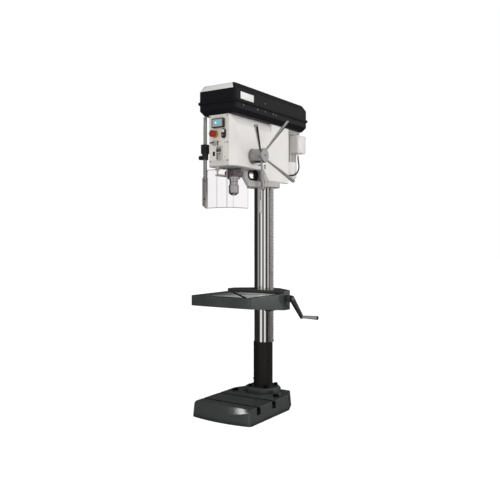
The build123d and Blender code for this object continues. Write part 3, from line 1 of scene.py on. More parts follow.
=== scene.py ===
# %% [markdown]
# # Pillar drill
# A floor-standing drilling machine: a steel column on an iron base, a table that a rack and crank lift, and
# a white head under a black belt cover. Its solids could be modelled here, but they are already built to
# size, so they are loaded as a frame. This lesson gives them their finish and adds small pieces.

# %% Load the frame
import math

import bpy
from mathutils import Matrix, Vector


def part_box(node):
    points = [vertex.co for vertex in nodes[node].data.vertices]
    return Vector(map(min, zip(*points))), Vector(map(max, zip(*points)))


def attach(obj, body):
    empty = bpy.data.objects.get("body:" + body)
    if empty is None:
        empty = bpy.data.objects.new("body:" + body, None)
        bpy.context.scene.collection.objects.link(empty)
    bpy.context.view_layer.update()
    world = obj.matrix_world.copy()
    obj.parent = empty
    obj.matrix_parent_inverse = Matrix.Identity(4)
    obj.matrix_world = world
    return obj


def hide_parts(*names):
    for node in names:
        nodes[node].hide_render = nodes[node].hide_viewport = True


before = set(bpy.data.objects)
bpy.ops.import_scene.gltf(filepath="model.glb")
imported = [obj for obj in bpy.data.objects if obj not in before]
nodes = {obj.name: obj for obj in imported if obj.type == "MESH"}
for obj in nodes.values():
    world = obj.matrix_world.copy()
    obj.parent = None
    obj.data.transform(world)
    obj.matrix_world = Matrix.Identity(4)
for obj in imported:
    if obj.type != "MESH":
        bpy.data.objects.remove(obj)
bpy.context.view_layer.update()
scene = bpy.context.scene
print("CAD nodes:", len(nodes))

# %% [markdown]
# ## Camera
# The photograph was taken from the front right, at about half the machine's height. A tilted camera could
# frame it too, but upright edges would lean, so it is level, and the lens shift moves the picture.

# %% Place the camera
PHOTO_AZIMUTH = math.radians(33.3)
CAMERA_PLACE = (2.205, -3.512, 1.074)
camera_data = bpy.data.cameras.new("photo_camera")
camera_data.lens = 45.94
camera_data.sensor_width = 36.0
camera_data.shift_y = -0.022
camera = bpy.data.objects.new("photo_camera", camera_data)
scene.collection.objects.link(camera)
camera.location = CAMERA_PLACE
camera.rotation_euler = (math.radians(90), 0, PHOTO_AZIMUTH)
scene.camera = camera
print("camera at", [round(c, 3) for c in camera.location])

# %% [markdown]
# ## Colours and nodes
# Colours are the sRGB hex values that an eye-dropper shows, turned into the linear values that shaders use.
# Nodes could be linked socket by socket, but a finish reads better as a list, so one function adds a node,
# sets it and fills its inputs.

# %% Colour, scale and node helpers
def srgb(code):
    """The linear colour of an sRGB hex code."""
    channels = [int(code[i:i + 2], 16) / 255 for i in (1, 3, 5)]
    linear = [c / 12.92 if c <= 0.04045 else ((c + 0.055) / 1.055) ** 2.4 for c in channels]
    return (*linear, 1.0)


def per_mm(size):
    """The texture scale at which a feature is this many millimetres wide."""
    return 1000.0 / size


def add(tree, kind, inputs=None, **settings):
    """Adds a shader node. An input is a value, a socket, or a node that gives its first output."""
    node = tree.nodes.new("ShaderNode" + kind)
    for name, value in settings.items():
        setattr(node, name, value)
    for name, value in (inputs or {}).items():
        if isinstance(value, bpy.types.Node):
            value = next(output for output in value.outputs if output.enabled)
        if isinstance(value, bpy.types.NodeSocket):
            tree.links.new(value, node.inputs[name])
        else:
            node.inputs[name].default_value = value
    return node


def empty_tree(owner):
    """The node tree of a world or material, with nothing in it."""
    owner.use_nodes = True
    owner.node_tree.nodes.clear()
    return owner.node_tree


WHITE = (1, 1, 1, 1)
print("mid grey #808080 in linear light:", round(srgb("#808080")[0], 3))

# %% [markdown]
# ## Soft boxes
# Polished steel mirrors a studio of bright boxes and dark gaps. Lit planes could be the boxes, but they
# would light the paint too, so they are stripes on the world that only gloss sees. Each has a bearing in
# degrees, clockwise from the machine's rear as seen from above, half a width and a brightness.

# %% Stripes round the set
BOXES_HIGH = ((36, 24, 1.0), (77, 18, 0.85), (128, 18, 1.05), (170, 18, 1.05), (211, 18, 0.45))
BOXES_LOW = ((125, 17, 1.0), (175, 20, 1.05))
BOX_GAP = 0.02
HORIZON_TOP = -0.08
HORIZON_FOOT = -0.11
world = bpy.data.worlds.new("studio")
scene.world = world
sky = empty_tree(world)
view = add(sky, "TexCoord").outputs["Generated"]
look = add(sky, "SeparateXYZ", {"Vector": view}).outputs
around = add(sky, "Math", {0: look["X"], 1: look["Y"]}, operation="ARCTAN2")
turns = add(sky, "Math", {0: around, 1: 1 / math.tau}, operation="MULTIPLY")
bearing = add(sky, "Math", {0: turns}, operation="FRACT")
ramps = []
for boxes in (BOXES_HIGH, BOXES_LOW):
    ramp = add(sky, "ValToRGB", {"Fac": bearing})
    stops = ramp.color_ramp.elements
    for end in stops:
        end.color = (BOX_GAP, BOX_GAP, BOX_GAP, 1)
    for middle, half, bright in boxes:
        for degrees, level in ((middle - half, BOX_GAP), (middle, bright), (middle + half, BOX_GAP)):
            stops.new(degrees / 360).color = (level, level, level, 1)
    ramps.append(ramp)
below = add(sky, "MapRange", {"Value": look["Z"], "From Min": HORIZON_TOP, "From Max": HORIZON_FOOT})
stripes = add(sky, "Mix", {"Factor": below, "A": ramps[0], "B": ramps[1]}, data_type="RGBA")
print("soft boxes:", len(BOXES_HIGH), "high,", len(BOXES_LOW), "low")

# %% [markdown]
# ## World
# The photograph is a cut-out on white. One white world could serve every ray, but steel would have nothing
# to mirror, and tops would be too bright. So the camera sees white, gloss sees the boxes, and paint gets an
# even light that is weaker from above.

# %% Light for each kind of ray
AMBIENT_SIDE = 0.88
AMBIENT_TOP = 0.58
TOP_FROM = 0.6
MIRROR = 1.5
ray = add(sky, "LightPath").outputs
seen = add(sky, "Math", {0: ray["Is Camera Ray"], 1: ray["Is Transmission Ray"]}, operation="MAXIMUM")
ambient = add(
    sky, "MapRange",
    {"Value": look["Z"], "From Max": TOP_FROM, "To Min": AMBIENT_SIDE, "To Max": AMBIENT_TOP},
)
fill = add(sky, "Background", {"Color": WHITE, "Strength": ambient})
mirror = add(sky, "Background", {"Color": stripes, "Strength": MIRROR})
white = add(sky, "Background", {"Color": WHITE, "Strength": 1.0})
unseen = add(sky, "MixShader", {"Fac": ray["Is Glossy Ray"], 1: fill, 2: mirror})
whole = add(sky, "MixShader", {"Fac": seen, 1: unseen, 2: white})
add(sky, "OutputWorld", {"Surface": whole})
print("world nodes:", len(sky.nodes))

# %% [markdown]
# ## Floor
# The machine stands on white paper. More lamps could whiten it, but they would bleach the machine, so for
# the camera the paper partly glows. Gloss passes through it, so the column's stripes go on to its foot.

# %% White paper
FLOOR_SIZE = 60.0
FLOOR_SHARE = 0.8
FLOOR_GLOW = 1.22
bpy.ops.object.select_all(action="DESELECT")
bpy.ops.mesh.primitive_plane_add(size=FLOOR_SIZE, location=(0, 0, 0))
floor = bpy.context.object
floor.name = "studio_floor"
# Paper without any gloss: an even white that takes a soft shadow
paper = bpy.data.materials.new("white studio paper")
sheet = empty_tree(paper)
ray = add(sheet, "LightPath").outputs
matte = add(sheet, "BsdfDiffuse", {"Color": srgb("#f4f4f4")})
glow = add(sheet, "Emission", {"Color": WHITE, "Strength": FLOOR_GLOW})
opening = add(sheet, "BsdfTransparent")
seen = add(sheet, "Math", {0: ray["Is Camera Ray"], 1: ray["Is Transmission Ray"]}, operation="MAXIMUM")
share = add(sheet, "Math", {0: seen, 1: FLOOR_SHARE}, operation="MULTIPLY")
lit = add(sheet, "MixShader", {"Fac": share, 1: matte, 2: glow})
passed = add(sheet, "MixShader", {"Fac": ray["Is Glossy Ray"], 1: lit, 2: opening})
add(sheet, "OutputMaterial", {"Surface": passed})
floor.data.materials.append(paper)
print("floor glow:", FLOOR_GLOW)

# %% [markdown]
# ## Lamps
# A large lamp lights the right side, and one near the camera the front. Gloss doesn't see these, or steel
# would mirror bright squares. Only gloss sees the third, a glint on the base's bevel. Sun lamps could serve,
# but with hard shadows.

# %% Key, fill and glint
AIM = Vector((0, -0.15, 1.1))
LAMPS = {
    "key_right": ((3.85, -0.3, 2.25), 2.4, 48),
    "fill_near": ((1.9, -4.2, 1.5), 2.0, 14),
    "glint_left": ((-1.0, -0.51, 1.92), 0.14, 1.0),
}
for name, (spot, size, watts) in LAMPS.items():
    lamp_data = bpy.data.lights.new(name, "AREA")
    lamp_data.size = size
    lamp_data.energy = watts
    lamp = bpy.data.objects.new(name, lamp_data)
    scene.collection.objects.link(lamp)
    lamp.location = spot
    lamp.rotation_euler = (AIM - Vector(spot)).to_track_quat("-Z", "Y").to_euler()
    lamp.visible_glossy = name == "glint_left"
    lamp.visible_diffuse = name != "glint_left"
    lamp.visible_transmission = False
print("lamps:", ", ".join(LAMPS))

# %% [markdown]
# ## Zones
# One casting can show two finishes, such as a milled face inside a painted rim. Its mesh could be cut, but
# the solids stay as they are, so a mask picks out a box by the place on the object and moves with it.

# %% New finish, mottle and zones
def new_finish(name):
    """A material, its empty tree, and the place on the object that its patterns follow."""
    finish = bpy.data.materials.new(name)
    tree = empty_tree(finish)
    return finish, tree, add(tree, "TexCoord").outputs["Object"]


def mottled(tree, place, size, detail, shade, pale):
    """Noise with features of that size in mm, and the colour that it varies between two tones."""
    noise = add(tree, "TexNoise", {"Vector": place, "Scale": per_mm(size), "Detail": detail})
    return noise, add(tree, "Mix", {"Factor": noise, "A": srgb(shade), "B": srgb(pale)}, data_type="RGBA")


def inside(tree, place, low, high, turn=0.0):
    """A mask that is 1 between two corners in metres, in a frame turned about Z."""
    turned = add(tree, "Mapping", {"Vector": place, "Rotation": (0, 0, turn)})
    middle = [(a + b) / 2 for a, b in zip(low, high)]
    half = [(b - a) / 2 for a, b in zip(low, high)]
    offset = add(tree, "VectorMath", {0: turned, 1: middle}, operation="SUBTRACT")
    away = add(tree, "VectorMath", {0: offset}, operation="ABSOLUTE")
    axes = add(tree, "SeparateXYZ", {"Vector": away}).outputs
    held = [
        add(tree, "Math", {0: axes[axis], 1: size}, operation="LESS_THAN") for axis, size in zip("XYZ", half)
    ]
    both = add(tree, "Math", {0: held[0], 1: held[1]}, operation="MULTIPLY")
    return add(tree, "Math", {0: both, 1: held[2]}, operation="MULTIPLY")


def zoned(tree, place, colour, zones):
    """Lays zones over a colour: two corners in metres, a tone, and a turn if there is one."""
    for low, high, tone, *turn in zones:
        zone = inside(tree, place, low, high, *turn)
        colour = add(tree, "Mix", {"Factor": zone, "A": colour, "B": srgb(tone)}, data_type="RGBA")
    return colour


print("materials so far:", len(bpy.data.materials))

# %% [markdown]
# ## Milled iron
# The table's work face is bare iron with cutter lines along X. It is dark on the left and bright towards the
# column as a painted reflection, and black along the T-slots as painted shade. A thin plate could show it,
# but it would stand proud, so it is a zone of the table's finish.

# %% Work face
TABLE_TOP = 0.734
SKIN = 0.0005
WORK_X = 0.179
WORK_FRONT = -0.446
WORK_REAR = -0.131
SLOT_FLOOR = 0.700
# Painted shade: the slots' recess and a band along the edges of each slot are near black
SLOT_SHADE = "#0b0b0b"
WORK_FACE = ((-WORK_X, WORK_FRONT, TABLE_TOP - SKIN), (WORK_X, WORK_REAR, TABLE_TOP + SKIN))
SLOTS = ((-WORK_X, WORK_FRONT, SLOT_FLOOR), (WORK_X, WORK_REAR, TABLE_TOP - SKIN), SLOT_SHADE)
# The slots cross at 45 degrees: in a frame turned that far, their crossing is this far out on both axes
CROSSING = 0.204
SLOT_HALF = 0.225
SLOT_SHADE_HALF = 0.012
SLOT_SHADE_EDGES = [
    (
        (side * CROSSING - SLOT_HALF, -CROSSING - SLOT_SHADE_HALF, TABLE_TOP - SKIN),
        (side * CROSSING + SLOT_HALF, -CROSSING + SLOT_SHADE_HALF, TABLE_TOP + SKIN),
        SLOT_SHADE,
        side * math.radians(45),
    )
    for side in (1, -1)
]
# Painted reflection: the face is dark on the left and bright towards the column
REFLECTION_DARK_X = -0.13
REFLECTION_BRIGHT_X = 0.07
# Cutter lines are drawn 5 mm apart, coarser than life
CUTTER_MM = 5
CUTTER_SHARE = 0.25
CUTTER_STRETCH = (0.1, 1.0, 1.0)
MILLED_METAL = 0.1


def milled_iron(tree, place, coat):
    """Shader values for paint with the bare work face in it, with its painted reflection and the painted
    shade along its slots.
    """
    bare = inside(tree, place, *WORK_FACE)
    drawn = add(tree, "Mapping", {"Vector": place, "Scale": CUTTER_STRETCH})
    cutter = add(tree, "TexNoise", {"Vector": drawn, "Scale": per_mm(CUTTER_MM), "Detail": 3.0})
    across = add(tree, "SeparateXYZ", {"Vector": place}).outputs["X"]
    reflected = add(tree, "MapRange", {"Value": across, "From Min": REFLECTION_DARK_X, "From Max": REFLECTION_BRIGHT_X})
    tone = add(tree, "Math", {0: cutter, 1: CUTTER_SHARE, 2: reflected}, operation="MULTIPLY_ADD")
    iron = add(tree, "Mix", {"Factor": tone, "A": srgb("#191918"), "B": srgb("#fbfaf7")}, data_type="RGBA")
    shown = add(tree, "Mix", {"Factor": bare, "A": coat, "B": iron}, data_type="RGBA")
    metal = add(tree, "Math", {0: bare, 1: MILLED_METAL}, operation="MULTIPLY")
    return {"Base Color": zoned(tree, place, shown, SLOT_SHADE_EDGES), "Metallic": metal}


print("work face in mm:", [round(1000 * (b - a)) for a, b in zip(*WORK_FACE)][:2])

# %% [markdown]
# ## Paint
# Castings have enamel, and covers a powder coat. Each could have its own nodes, but only colours, grain and
# gloss differ, so one function makes them. It clouds the colour, pales rubbed edges, darkens creases as
# painted shade and pebbles the surface. A rounded shading normal stands for the small radius of real edges.

# %% Paint maker
CLOUD_MM = 60
PATCH_MM = 9
RUB_STARTS = 0.995
RUB_FULL = 0.8
CREASE_DEPTH = 0.03
CREASE_POWER = 1.6
# Height in metres for each mm of grain
PEBBLE_RISE = 0.00025


def painted(
    name, shade, pale, rub, grain, bump, rough, edge=2.5, zones=(), ior=1.5, crease=None, milled=False
):
    """Paint with its zones. Grain and edge are in mm."""
    finish, tree, place = new_finish(name)
    clouded = mottled(tree, place, CLOUD_MM, 4.0, shade, pale)[1]
    rounded = add(tree, "Bevel", {"Radius": edge / 1000}, samples=4)
    plain = add(tree, "NewGeometry").outputs["Normal"]
    close = add(tree, "VectorMath", {0: rounded, 1: plain}, operation="DOT_PRODUCT")
    rubbed = add(tree, "MapRange", {"Value": close, "From Min": RUB_STARTS, "From Max": RUB_FULL})
    patch = add(tree, "TexNoise", {"Vector": place, "Scale": per_mm(PATCH_MM), "Detail": 3.0})
    worn = add(tree, "Math", {0: rubbed, 1: patch}, operation="MULTIPLY")
    coat = add(tree, "Mix", {"Factor": worn, "A": clouded, "B": srgb(rub)}, data_type="RGBA")
    coat = zoned(tree, place, coat, zones)
    if crease:
        # Painted shade: where the occlusion finds a crease, the coat darkens towards the crease tone
        open_sky = add(tree, "AmbientOcclusion", {"Distance": CREASE_DEPTH}, samples=8).outputs["AO"]
        unshaded = add(tree, "Math", {0: open_sky, 1: CREASE_POWER}, operation="POWER")
        coat = add(tree, "Mix", {"Factor": unshaded, "A": srgb(crease), "B": coat}, data_type="RGBA")
    pebble = add(tree, "TexNoise", {"Vector": place, "Scale": per_mm(grain), "Detail": 2.0})
    pebbled = add(
        tree, "Bump", {"Height": pebble, "Strength": bump, "Distance": grain * PEBBLE_RISE, "Normal": rounded}
    )
    values = {"Base Color": coat, "Normal": pebbled, "Roughness": rough, "IOR": ior}
    if milled:
        values.update(milled_iron(tree, place, coat))
    add(tree, "OutputMaterial", {"Surface": add(tree, "BsdfPrincipled", values)})
    return finish


print("paint clouds over mm:", CLOUD_MM)

# %% [markdown]
# ## Dark iron
# The castings' enamel is glossy, with a light structure. Their slots could be left to shadow, but their walls
# are painted shade instead: black zones.

# %% Enamel on castings
# Painted shade: the dark tone that creases take
PAINTED_CREASE_SHADE = "#0d0e0d"
RUBBED_IRON = "#6a6b69"
# Painted shade: the walls of the base's slots are near black
BASE_SLOT_SHADE = [
    ((-0.2115, row - 0.02, 0.05), (0.2115, row + 0.02, 0.0915), "#070707") for row in (-0.375, -0.203)
]
# Enamel on cast iron: a dark sheen, pale at rubbed edges, with painted shade that makes slots and creases
# black
iron_enamel = painted(
    "anthracite structured enamel", "#3f4341", "#484b49", RUBBED_IRON, grain=2.4, bump=0.015, rough=0.1,
    zones=BASE_SLOT_SHADE, ior=1.45, crease=PAINTED_CREASE_SHADE,
)
# The same round milled iron: a dull rim, and a face whose painted reflection darkens to the left
table_enamel = painted(
    "anthracite enamel with a milled work face", "#3d413f", "#464947", RUBBED_IRON, grain=2.4, bump=0.06,
    rough=0.16, zones=[SLOTS], ior=1.45, crease=PAINTED_CREASE_SHADE, milled=True,
)
print("nodes of the table's finish:", len(table_enamel.node_tree.nodes))

# %% [markdown]
# ## Covers and head
# Powder coat melts into an even skin with a fine orange peel. A flat colour would look like plastic, so each
# coat keeps faint clouds, grain and rubbed edges. The head's white front is a zone of its grey enamel.

# %% Powder coats and thin paint
HEAD_FRONT = ((-0.2, -0.6, 1.4), (0.2, -0.44, 1.6), "#dedbd6")
MACHINE_GREY = ("#b8b5b1", "#c1beba", "#d0cecb")
# Black powder coat: even, with little shine
cover_coat = painted(
    "black satin powder coat", "#151316", "#1a181c", "#3d3c41", grain=1.6, bump=0.2, rough=0.5, ior=1.27
)
# White powder coat: warm, with a wide soft gloss
white_coat = painted("white powder coat", "#e4e1dd", "#eae7e4", "#f1efed", grain=1.8, bump=0.12, rough=0.38)
# Enamel on flat sheet: creamier and smoother than the covers
panel_coat = painted(
    "warm white panel coat", "#efe9e1", "#f3eee7", "#f6f2ed", grain=1.8, bump=0.08, rough=0.38, edge=1.0
)
# Painted reflection on the lid's bevel: clean, pale and nearly matt
lid_reflection_band = painted(
    "off-white painted reflection on the lid", "#f3f1ee", "#f7f5f3", "#f9f8f6", grain=1.8, bump=0.05, rough=0.45, edge=0.4
)
# Machine enamel on the motor: pale grey with an orange peel
grey_coat = painted("pale grey machine enamel", *MACHINE_GREY, grain=2.0, bump=0.2, rough=0.42)
# The same enamel on the head: grey at the neck and white in front
head_coat = painted(
    "pale grey enamel with a white front", *MACHINE_GREY, grain=2.0, bump=0.2, rough=0.42, zones=[HEAD_FRONT]
)
print("head front zone from z", HEAD_FRONT[0][2], "to", HEAD_FRONT[1][2])

# %% [markdown]
# ## Blacked steel
# Blacked steel has a thin dark skin that wears off at edges. A dark metal could show it, but the oiled skin
# reflects like paint, so the paint maker serves again, for the black sleeve too.

# %% Black skins
# Black oxide: a dark skin that rubs to grey on its edges
black_oxide = painted(
    "black oxide steel", "#141314", "#1d1c1d", "#4d4c4b", grain=1.0, bump=0.1, rough=0.38, edge=0.8
)
# Oily blacked screws: almost no light comes back
blacked_screw = painted(
    "blacked screw steel", "#060606", "#0a0a0a", "#1b1b1b", grain=1.0, bump=0.05, rough=0.55, edge=0.8,
    ior=1.2,
)
# Painted tube: black with a broad dull streak of light
sleeve_black = painted(
    "black column sleeve", "#151411", "#1b1916", "#33312e", grain=3.0, bump=0.1, rough=0.5, edge=1.0, ior=1.35
)
print("materials with black skins:", len(bpy.data.materials))

# %% [markdown]
# ## Bare steel
# The column is ground, hubs and the chuck are turned, and the depth rod is polished. An anisotropic shader
# could stretch highlights, but stretched noise varies tone and gloss as well, so it draws the machining
# lines, coarser than life because real ones are finer than a pixel.

# %% Metal maker
ROUND_COLUMN = (0.05, 0.05, 1.0)
ROUND_X = (1.0, 0.15, 0.15)
ROUND_Z = (0.15, 0.15, 1.0)
ALONG_Y = (1.0, 0.2, 1.0)
ALONG_Z = (1.0, 1.0, 0.06)
EVEN = (1.0, 1.0, 1.0)
GLOSS_LEAST = 0.8
GLOSS_MOST = 1.25
# Height in metres for each mm between lines
LINE_RISE = 0.00025


def bare_metal(name, shade, pale, rough, line, run=EVEN, edge=0.8, bump=0.12, zones=()):
    """Metal with lines that the scales in run stretch. Line and edge are in mm."""
    finish, tree, place = new_finish(name)
    drawn = add(tree, "Mapping", {"Vector": place, "Scale": run})
    scratch, tint = mottled(tree, drawn, line, 3.0, shade, pale)
    tint = zoned(tree, place, tint, zones)
    gloss = add(
        tree, "MapRange", {"Value": scratch, "To Min": rough * GLOSS_LEAST, "To Max": rough * GLOSS_MOST}
    )
    rounded = add(tree, "Bevel", {"Radius": edge / 1000}, samples=4)
    scratched = add(
        tree, "Bump", {"Height": scratch, "Strength": bump, "Distance": line * LINE_RISE, "Normal": rounded}
    )
    values = {"Base Color": tint, "Roughness": gloss, "Normal": scratched, "Metallic": 1.0}
    add(tree, "OutputMaterial", {"Surface": add(tree, "BsdfPrincipled", values)})
    return finish


print("roughness varies by:", GLOSS_LEAST, "to", GLOSS_MOST)

# %% [markdown]
# ## Steels of the drill
# The column is the clearest mirror, the hub is satin, and the quill's collar is browned against rust. One
# metal could serve for all, but then the machine would look cast in one piece.

# %% Ground, turned, polished and plated
DEPTH_ARM = ((-0.08, -0.47, 1.44), (0.08, -0.389, 1.49), "#a9a6a3")
# Ground column: a clear mirror that breaks up a little in rings
ground_steel = bare_metal(
    "ground column steel", "#c4c3c1", "#d4d3d1", rough=0.06, line=3.0, run=ROUND_COLUMN, bump=0.01
)
# Turned hub and shafts: satin, with fine rings about X
turned_steel = bare_metal("turned steel", "#989695", "#acaaa9", rough=0.3, line=1.6, run=ROUND_X, edge=1.0)
# Turned and polished chuck: sharp bright bands round Z
chuck_steel = bare_metal("turned chuck steel", "#a6a3a2", "#bbb8b7", rough=0.13, line=1.6, run=ROUND_Z)
# Polished rod: narrow soft stripes of light along it
polished_steel = bare_metal("polished steel", "#acaaa8", "#bcbab8", rough=0.17, line=4.0, bump=0.04)
# Satin levers: broader and duller stripes than on the rod
lever_steel = bare_metal("satin lever steel", "#b9b7b5", "#c9c7c5", rough=0.28, line=4.0, bump=0.04)
# Oiled rack: milled teeth that catch the light on their tips
rack_steel = bare_metal("oiled rack steel", "#b7b5b3", "#cfcdcb", rough=0.3, line=2.0, run=ALONG_Y, edge=0.4)
# Brushed bar: grey with a fine upright grain
brushed_bar = bare_metal(
    "brushed aluminium bar", "#b2b0ae", "#c2c0be", rough=0.34, line=2.0, run=ALONG_Z, bump=0.06
)
# Anodised rod: the same grain under a slightly darker skin
anodised = bare_metal(
    "anodised aluminium", "#a3a2a0", "#b2b0ae", rough=0.34, line=2.0, run=ALONG_Z, bump=0.06
)
# Browned collar: dark reddish steel, with the depth stop's arm left bright
browned_steel = bare_metal(
    "browned collar steel", "#4b393d", "#5e494e", rough=0.36, line=1.6, run=ROUND_Z, edge=1.0,
    zones=[DEPTH_ARM],
)
# Zinc-plated screws: small pale glints
small_steel = bare_metal("zinc-plated screw steel", "#b5b4b0", "#c5c4c0", rough=0.32, line=0.8, edge=0.3)
print("clearest mirror:", ground_steel.name)

# %% [markdown]
# ## Plastics and rubber
# Buttons, bezels and knobs are moulded, and the belt and cable are rubber. The moulds' grain of about 0.1 mm
# could be left out, but it softens highlights, so it is drawn coarser than life.

# %% Plastic maker
MOTTLE_MM = 12
MOULD_EDGE = 0.0008
# Height in metres for each mm of grain
MOULD_RISE = 0.0002


def moulded(name, shade, pale, rough, grain=0.9, bump=0.1, ior=1.5):
    """Plastic or rubber, slightly mottled. Grain is in mm."""
    finish, tree, place = new_finish(name)
    tint = mottled(tree, place, MOTTLE_MM, 3.0, shade, pale)[1]
    pebble = add(tree, "TexNoise", {"Vector": place, "Scale": per_mm(grain), "Detail": 2.0})
    rounded = add(tree, "Bevel", {"Radius": MOULD_EDGE}, samples=4)
    pebbled = add(
        tree, "Bump", {"Height": pebble, "Strength": bump, "Distance": grain * MOULD_RISE, "Normal": rounded}
    )
    values = {"Base Color": tint, "Normal": pebbled, "Roughness": rough, "IOR": ior}
    add(tree, "OutputMaterial", {"Surface": add(tree, "BsdfPrincipled", values)})
    return finish


# Housings and knobs: black with a soft sheen
black_plastic = moulded("black moulded plastic", "#131213", "#1b1a1b", rough=0.4)
# Emergency stop: a deep even red with a smooth dome
red_plastic = moulded("red moulded plastic", "#9a1a14", "#a52018", rough=0.3)
# Its collar: a dull golden yellow
yellow_plastic = moulded("yellow moulded plastic", "#b98c2b", "#c49735", rough=0.35)
# Start button, glands and plate: clean white with a light gloss
white_plastic = moulded("white moulded plastic", "#eceae6", "#f2f0ed", rough=0.3)
# Readout and selector: warm light grey, nearly matt
grey_plastic = moulded("grey moulded plastic", "#b4b1ab", "#bcb9b3", rough=0.4)
# Readout window: smooth and smoky
window_glass = moulded("dark readout window", "#4d4c4a", "#5d5b58", rough=0.25, grain=4.0, bump=0.02)
# Belt: matt charcoal with a coarse grain
belt_rubber = moulded("ribbed belt rubber", "#2b2a28", "#353331", rough=0.6, grain=2.5, bump=0.4)
# Cable sheath: a flat black line
cable_rubber = moulded("black cable sheath", "#080808", "#0e0d0d", rough=0.6, grain=1.2, bump=0.15, ior=1.2)
# Sawn edge of the guard: rough, so that it reads as a dark grey line
sawn_edge = moulded("sawn polycarbonate edge", "#3a3b3e", "#48494c", rough=0.5, grain=1.5, bump=0.2)
# Stretched sheet at a bend: whitened and cloudy
bent_sheet = moulded("polycarbonate whitened at a bend", "#c9c5c8", "#d3d0d2", rough=0.4, grain=1.5)
print("materials with plastics:", len(bpy.data.materials))

# %% [markdown]
# ## Clear guard
# The chuck guard is clear polycarbonate, a little hazy. Plain transparency would lose its reflections, so
# it is a transmitting shader with a faint tint that varies.

# %% Clear polycarbonate
HAZE_MM = 40
# Clear sheet: a faint warm haze and thin reflections
clear_sheet, tree, place = new_finish("clear polycarbonate")
tint = mottled(tree, place, HAZE_MM, 3.0, "#f3f1f3", "#f8f6f7")[1]
values = {"Base Color": tint, "Roughness": 0.03, "IOR": 1.3, "Transmission Weight": 1.0}
add(tree, "OutputMaterial", {"Surface": add(tree, "BsdfPrincipled", values)})
print("haze in mm:", HAZE_MM)

# %% [markdown]
# ## Display
# A lit blue panel sits in a grey frame behind one glass. It could be three pieces, but they share one flat
# face, so two zones divide it: the panel glows, and a paler spot stands for what it shows.

# %% Display glass
LIT_PANEL = ((-0.023, -0.520, 1.742), (0.024, -0.490, 1.766))
LIT_SPOT = ((-0.016, -0.520, 1.749), (-0.005, -0.490, 1.759), "#d6ecf2")
# Pixels are drawn coarser than life
PIXEL_MM = 1.2
PANEL_GLOW = 0.45
# Glass over a lit panel: pale blue light in a grey frame, with a smooth gloss
lcd_glass, tree, place = new_finish("display glass")
pixel = add(tree, "TexChecker", {"Vector": place, "Scale": per_mm(PIXEL_MM)}).outputs["Fac"]
blue = add(tree, "Mix", {"Factor": pixel, "A": srgb("#62a8be"), "B": srgb("#6ab0c6")}, data_type="RGBA")
spotted = zoned(tree, place, blue, [LIT_SPOT])
panel = inside(tree, place, *LIT_PANEL)
face = add(tree, "Mix", {"Factor": panel, "A": srgb("#b3afac"), "B": spotted}, data_type="RGBA")
glow = add(tree, "Math", {0: panel, 1: PANEL_GLOW}, operation="MULTIPLY")
lit = {"Emission Color": face, "Emission Strength": glow}
values = {"Base Color": face, "Roughness": 0.15, "IOR": 1.5, **lit}
add(tree, "OutputMaterial", {"Surface": add(tree, "BsdfPrincipled", values)})
print("lit panel in mm:", [round(1000 * (b - a)) for a, b in zip(*LIT_PANEL)][::2])

# %% [markdown]
# ## Crank grip
# The grip is a satin aluminium sleeve with a dark plug in its end. The metal maker could do it, but bare
# metal is too bright a mirror and paint too flat, so its own shader stands between the two.

# %% Satin grip
GRIP_PLUG = ((0.3655, 0.030, 0.555), (0.380, 0.080, 0.605), "#2c2b2a")
# The satin grain is drawn coarser than life
SATIN_MM = 1.5
GRIP_EDGE = 0.001
# Satin aluminium: pale and soft, with hardly any reflection
grip_metal, tree, place = new_finish("satin aluminium grip")
satin = mottled(tree, place, SATIN_MM, 3.0, "#b5b3b0", "#c4c2bf")[1]
ended = zoned(tree, place, satin, [GRIP_PLUG])
rounded = add(tree, "Bevel", {"Radius": GRIP_EDGE}, samples=4)
values = {"Base Color": ended, "Normal": rounded, "Roughness": 0.4, "Metallic": 0.35}
add(tree, "OutputMaterial", {"Surface": add(tree, "BsdfPrincipled", values)})
print("grip grain in mm:", SATIN_MM)

# %% [markdown]
# ## Dress the solids
# Every solid gets the finish of the real piece. Finishes could be set one by one, but a table shows which
# pieces share one, and the count shows that none is forgotten.

# %% Give every solid its finish
FINISH = {
    iron_enamel: ("base_casting", "column_flange"),
    table_enamel: ("table_casting",),
    cover_coat: ("belt_tray", "lid"),
    white_coat: ("side_cover_right", "side_cover_left", "junction_box", "motor_cowl"),
    panel_coat: ("front_panel",),
    head_coat: ("head_casting",),
    grey_coat: ("motor_plate", "motor_body"),
    blacked_screw: ("levelling_screws", "flange_screws"),
    black_oxide: (
        "gear_cover", "crank_arm", "table_clamp", "lid_hinge_base", "lid_hinge_leaves", "guard_collar",
    ),
    sleeve_black: ("lower_sleeve",),
    ground_steel: ("column_tube",),
    turned_steel: ("crank_shaft", "pinion_shaft", "spring_cup", "feed_shaft", "feed_hub"),
    browned_steel: ("quill_collar",),
    chuck_steel: (
        "quill", "spindle", "chuck_body", "chuck_sleeve", "chuck_jaw_1", "chuck_jaw_2", "chuck_jaw_3",
        "drive_pulley", "motor_pulley",
    ),
    polished_steel: ("depth_rod",),
    lever_steel: ("feed_levers",),
    grip_metal: ("crank_grip",),
    rack_steel: ("rack_bar",),
    anodised: ("guard_rod",),
    brushed_bar: ("guard_channel",),
    black_plastic: (
        "lift_hole_trim", "display_bezel", "button_housing", "stop_button", "guard_switch_box", "guard_knob",
    ),
    grey_plastic: ("readout_module", "selector_knob"),
    red_plastic: ("estop_button",),
    yellow_plastic: ("estop_collar",),
    white_plastic: ("start_button", "cable_glands"),
    belt_rubber: ("drive_belt",),
    cable_rubber: ("motor_cable",),
    clear_sheet: ("guard_shield",),
    lcd_glass: ("display_screen",),
}
dressed = 0
for finish, names in FINISH.items():
    for name in names:
        nodes[name].data.materials.clear()
        nodes[name].data.materials.append(finish)
        dressed += 1
print("solids with a finish:", dressed, "of", len(nodes))

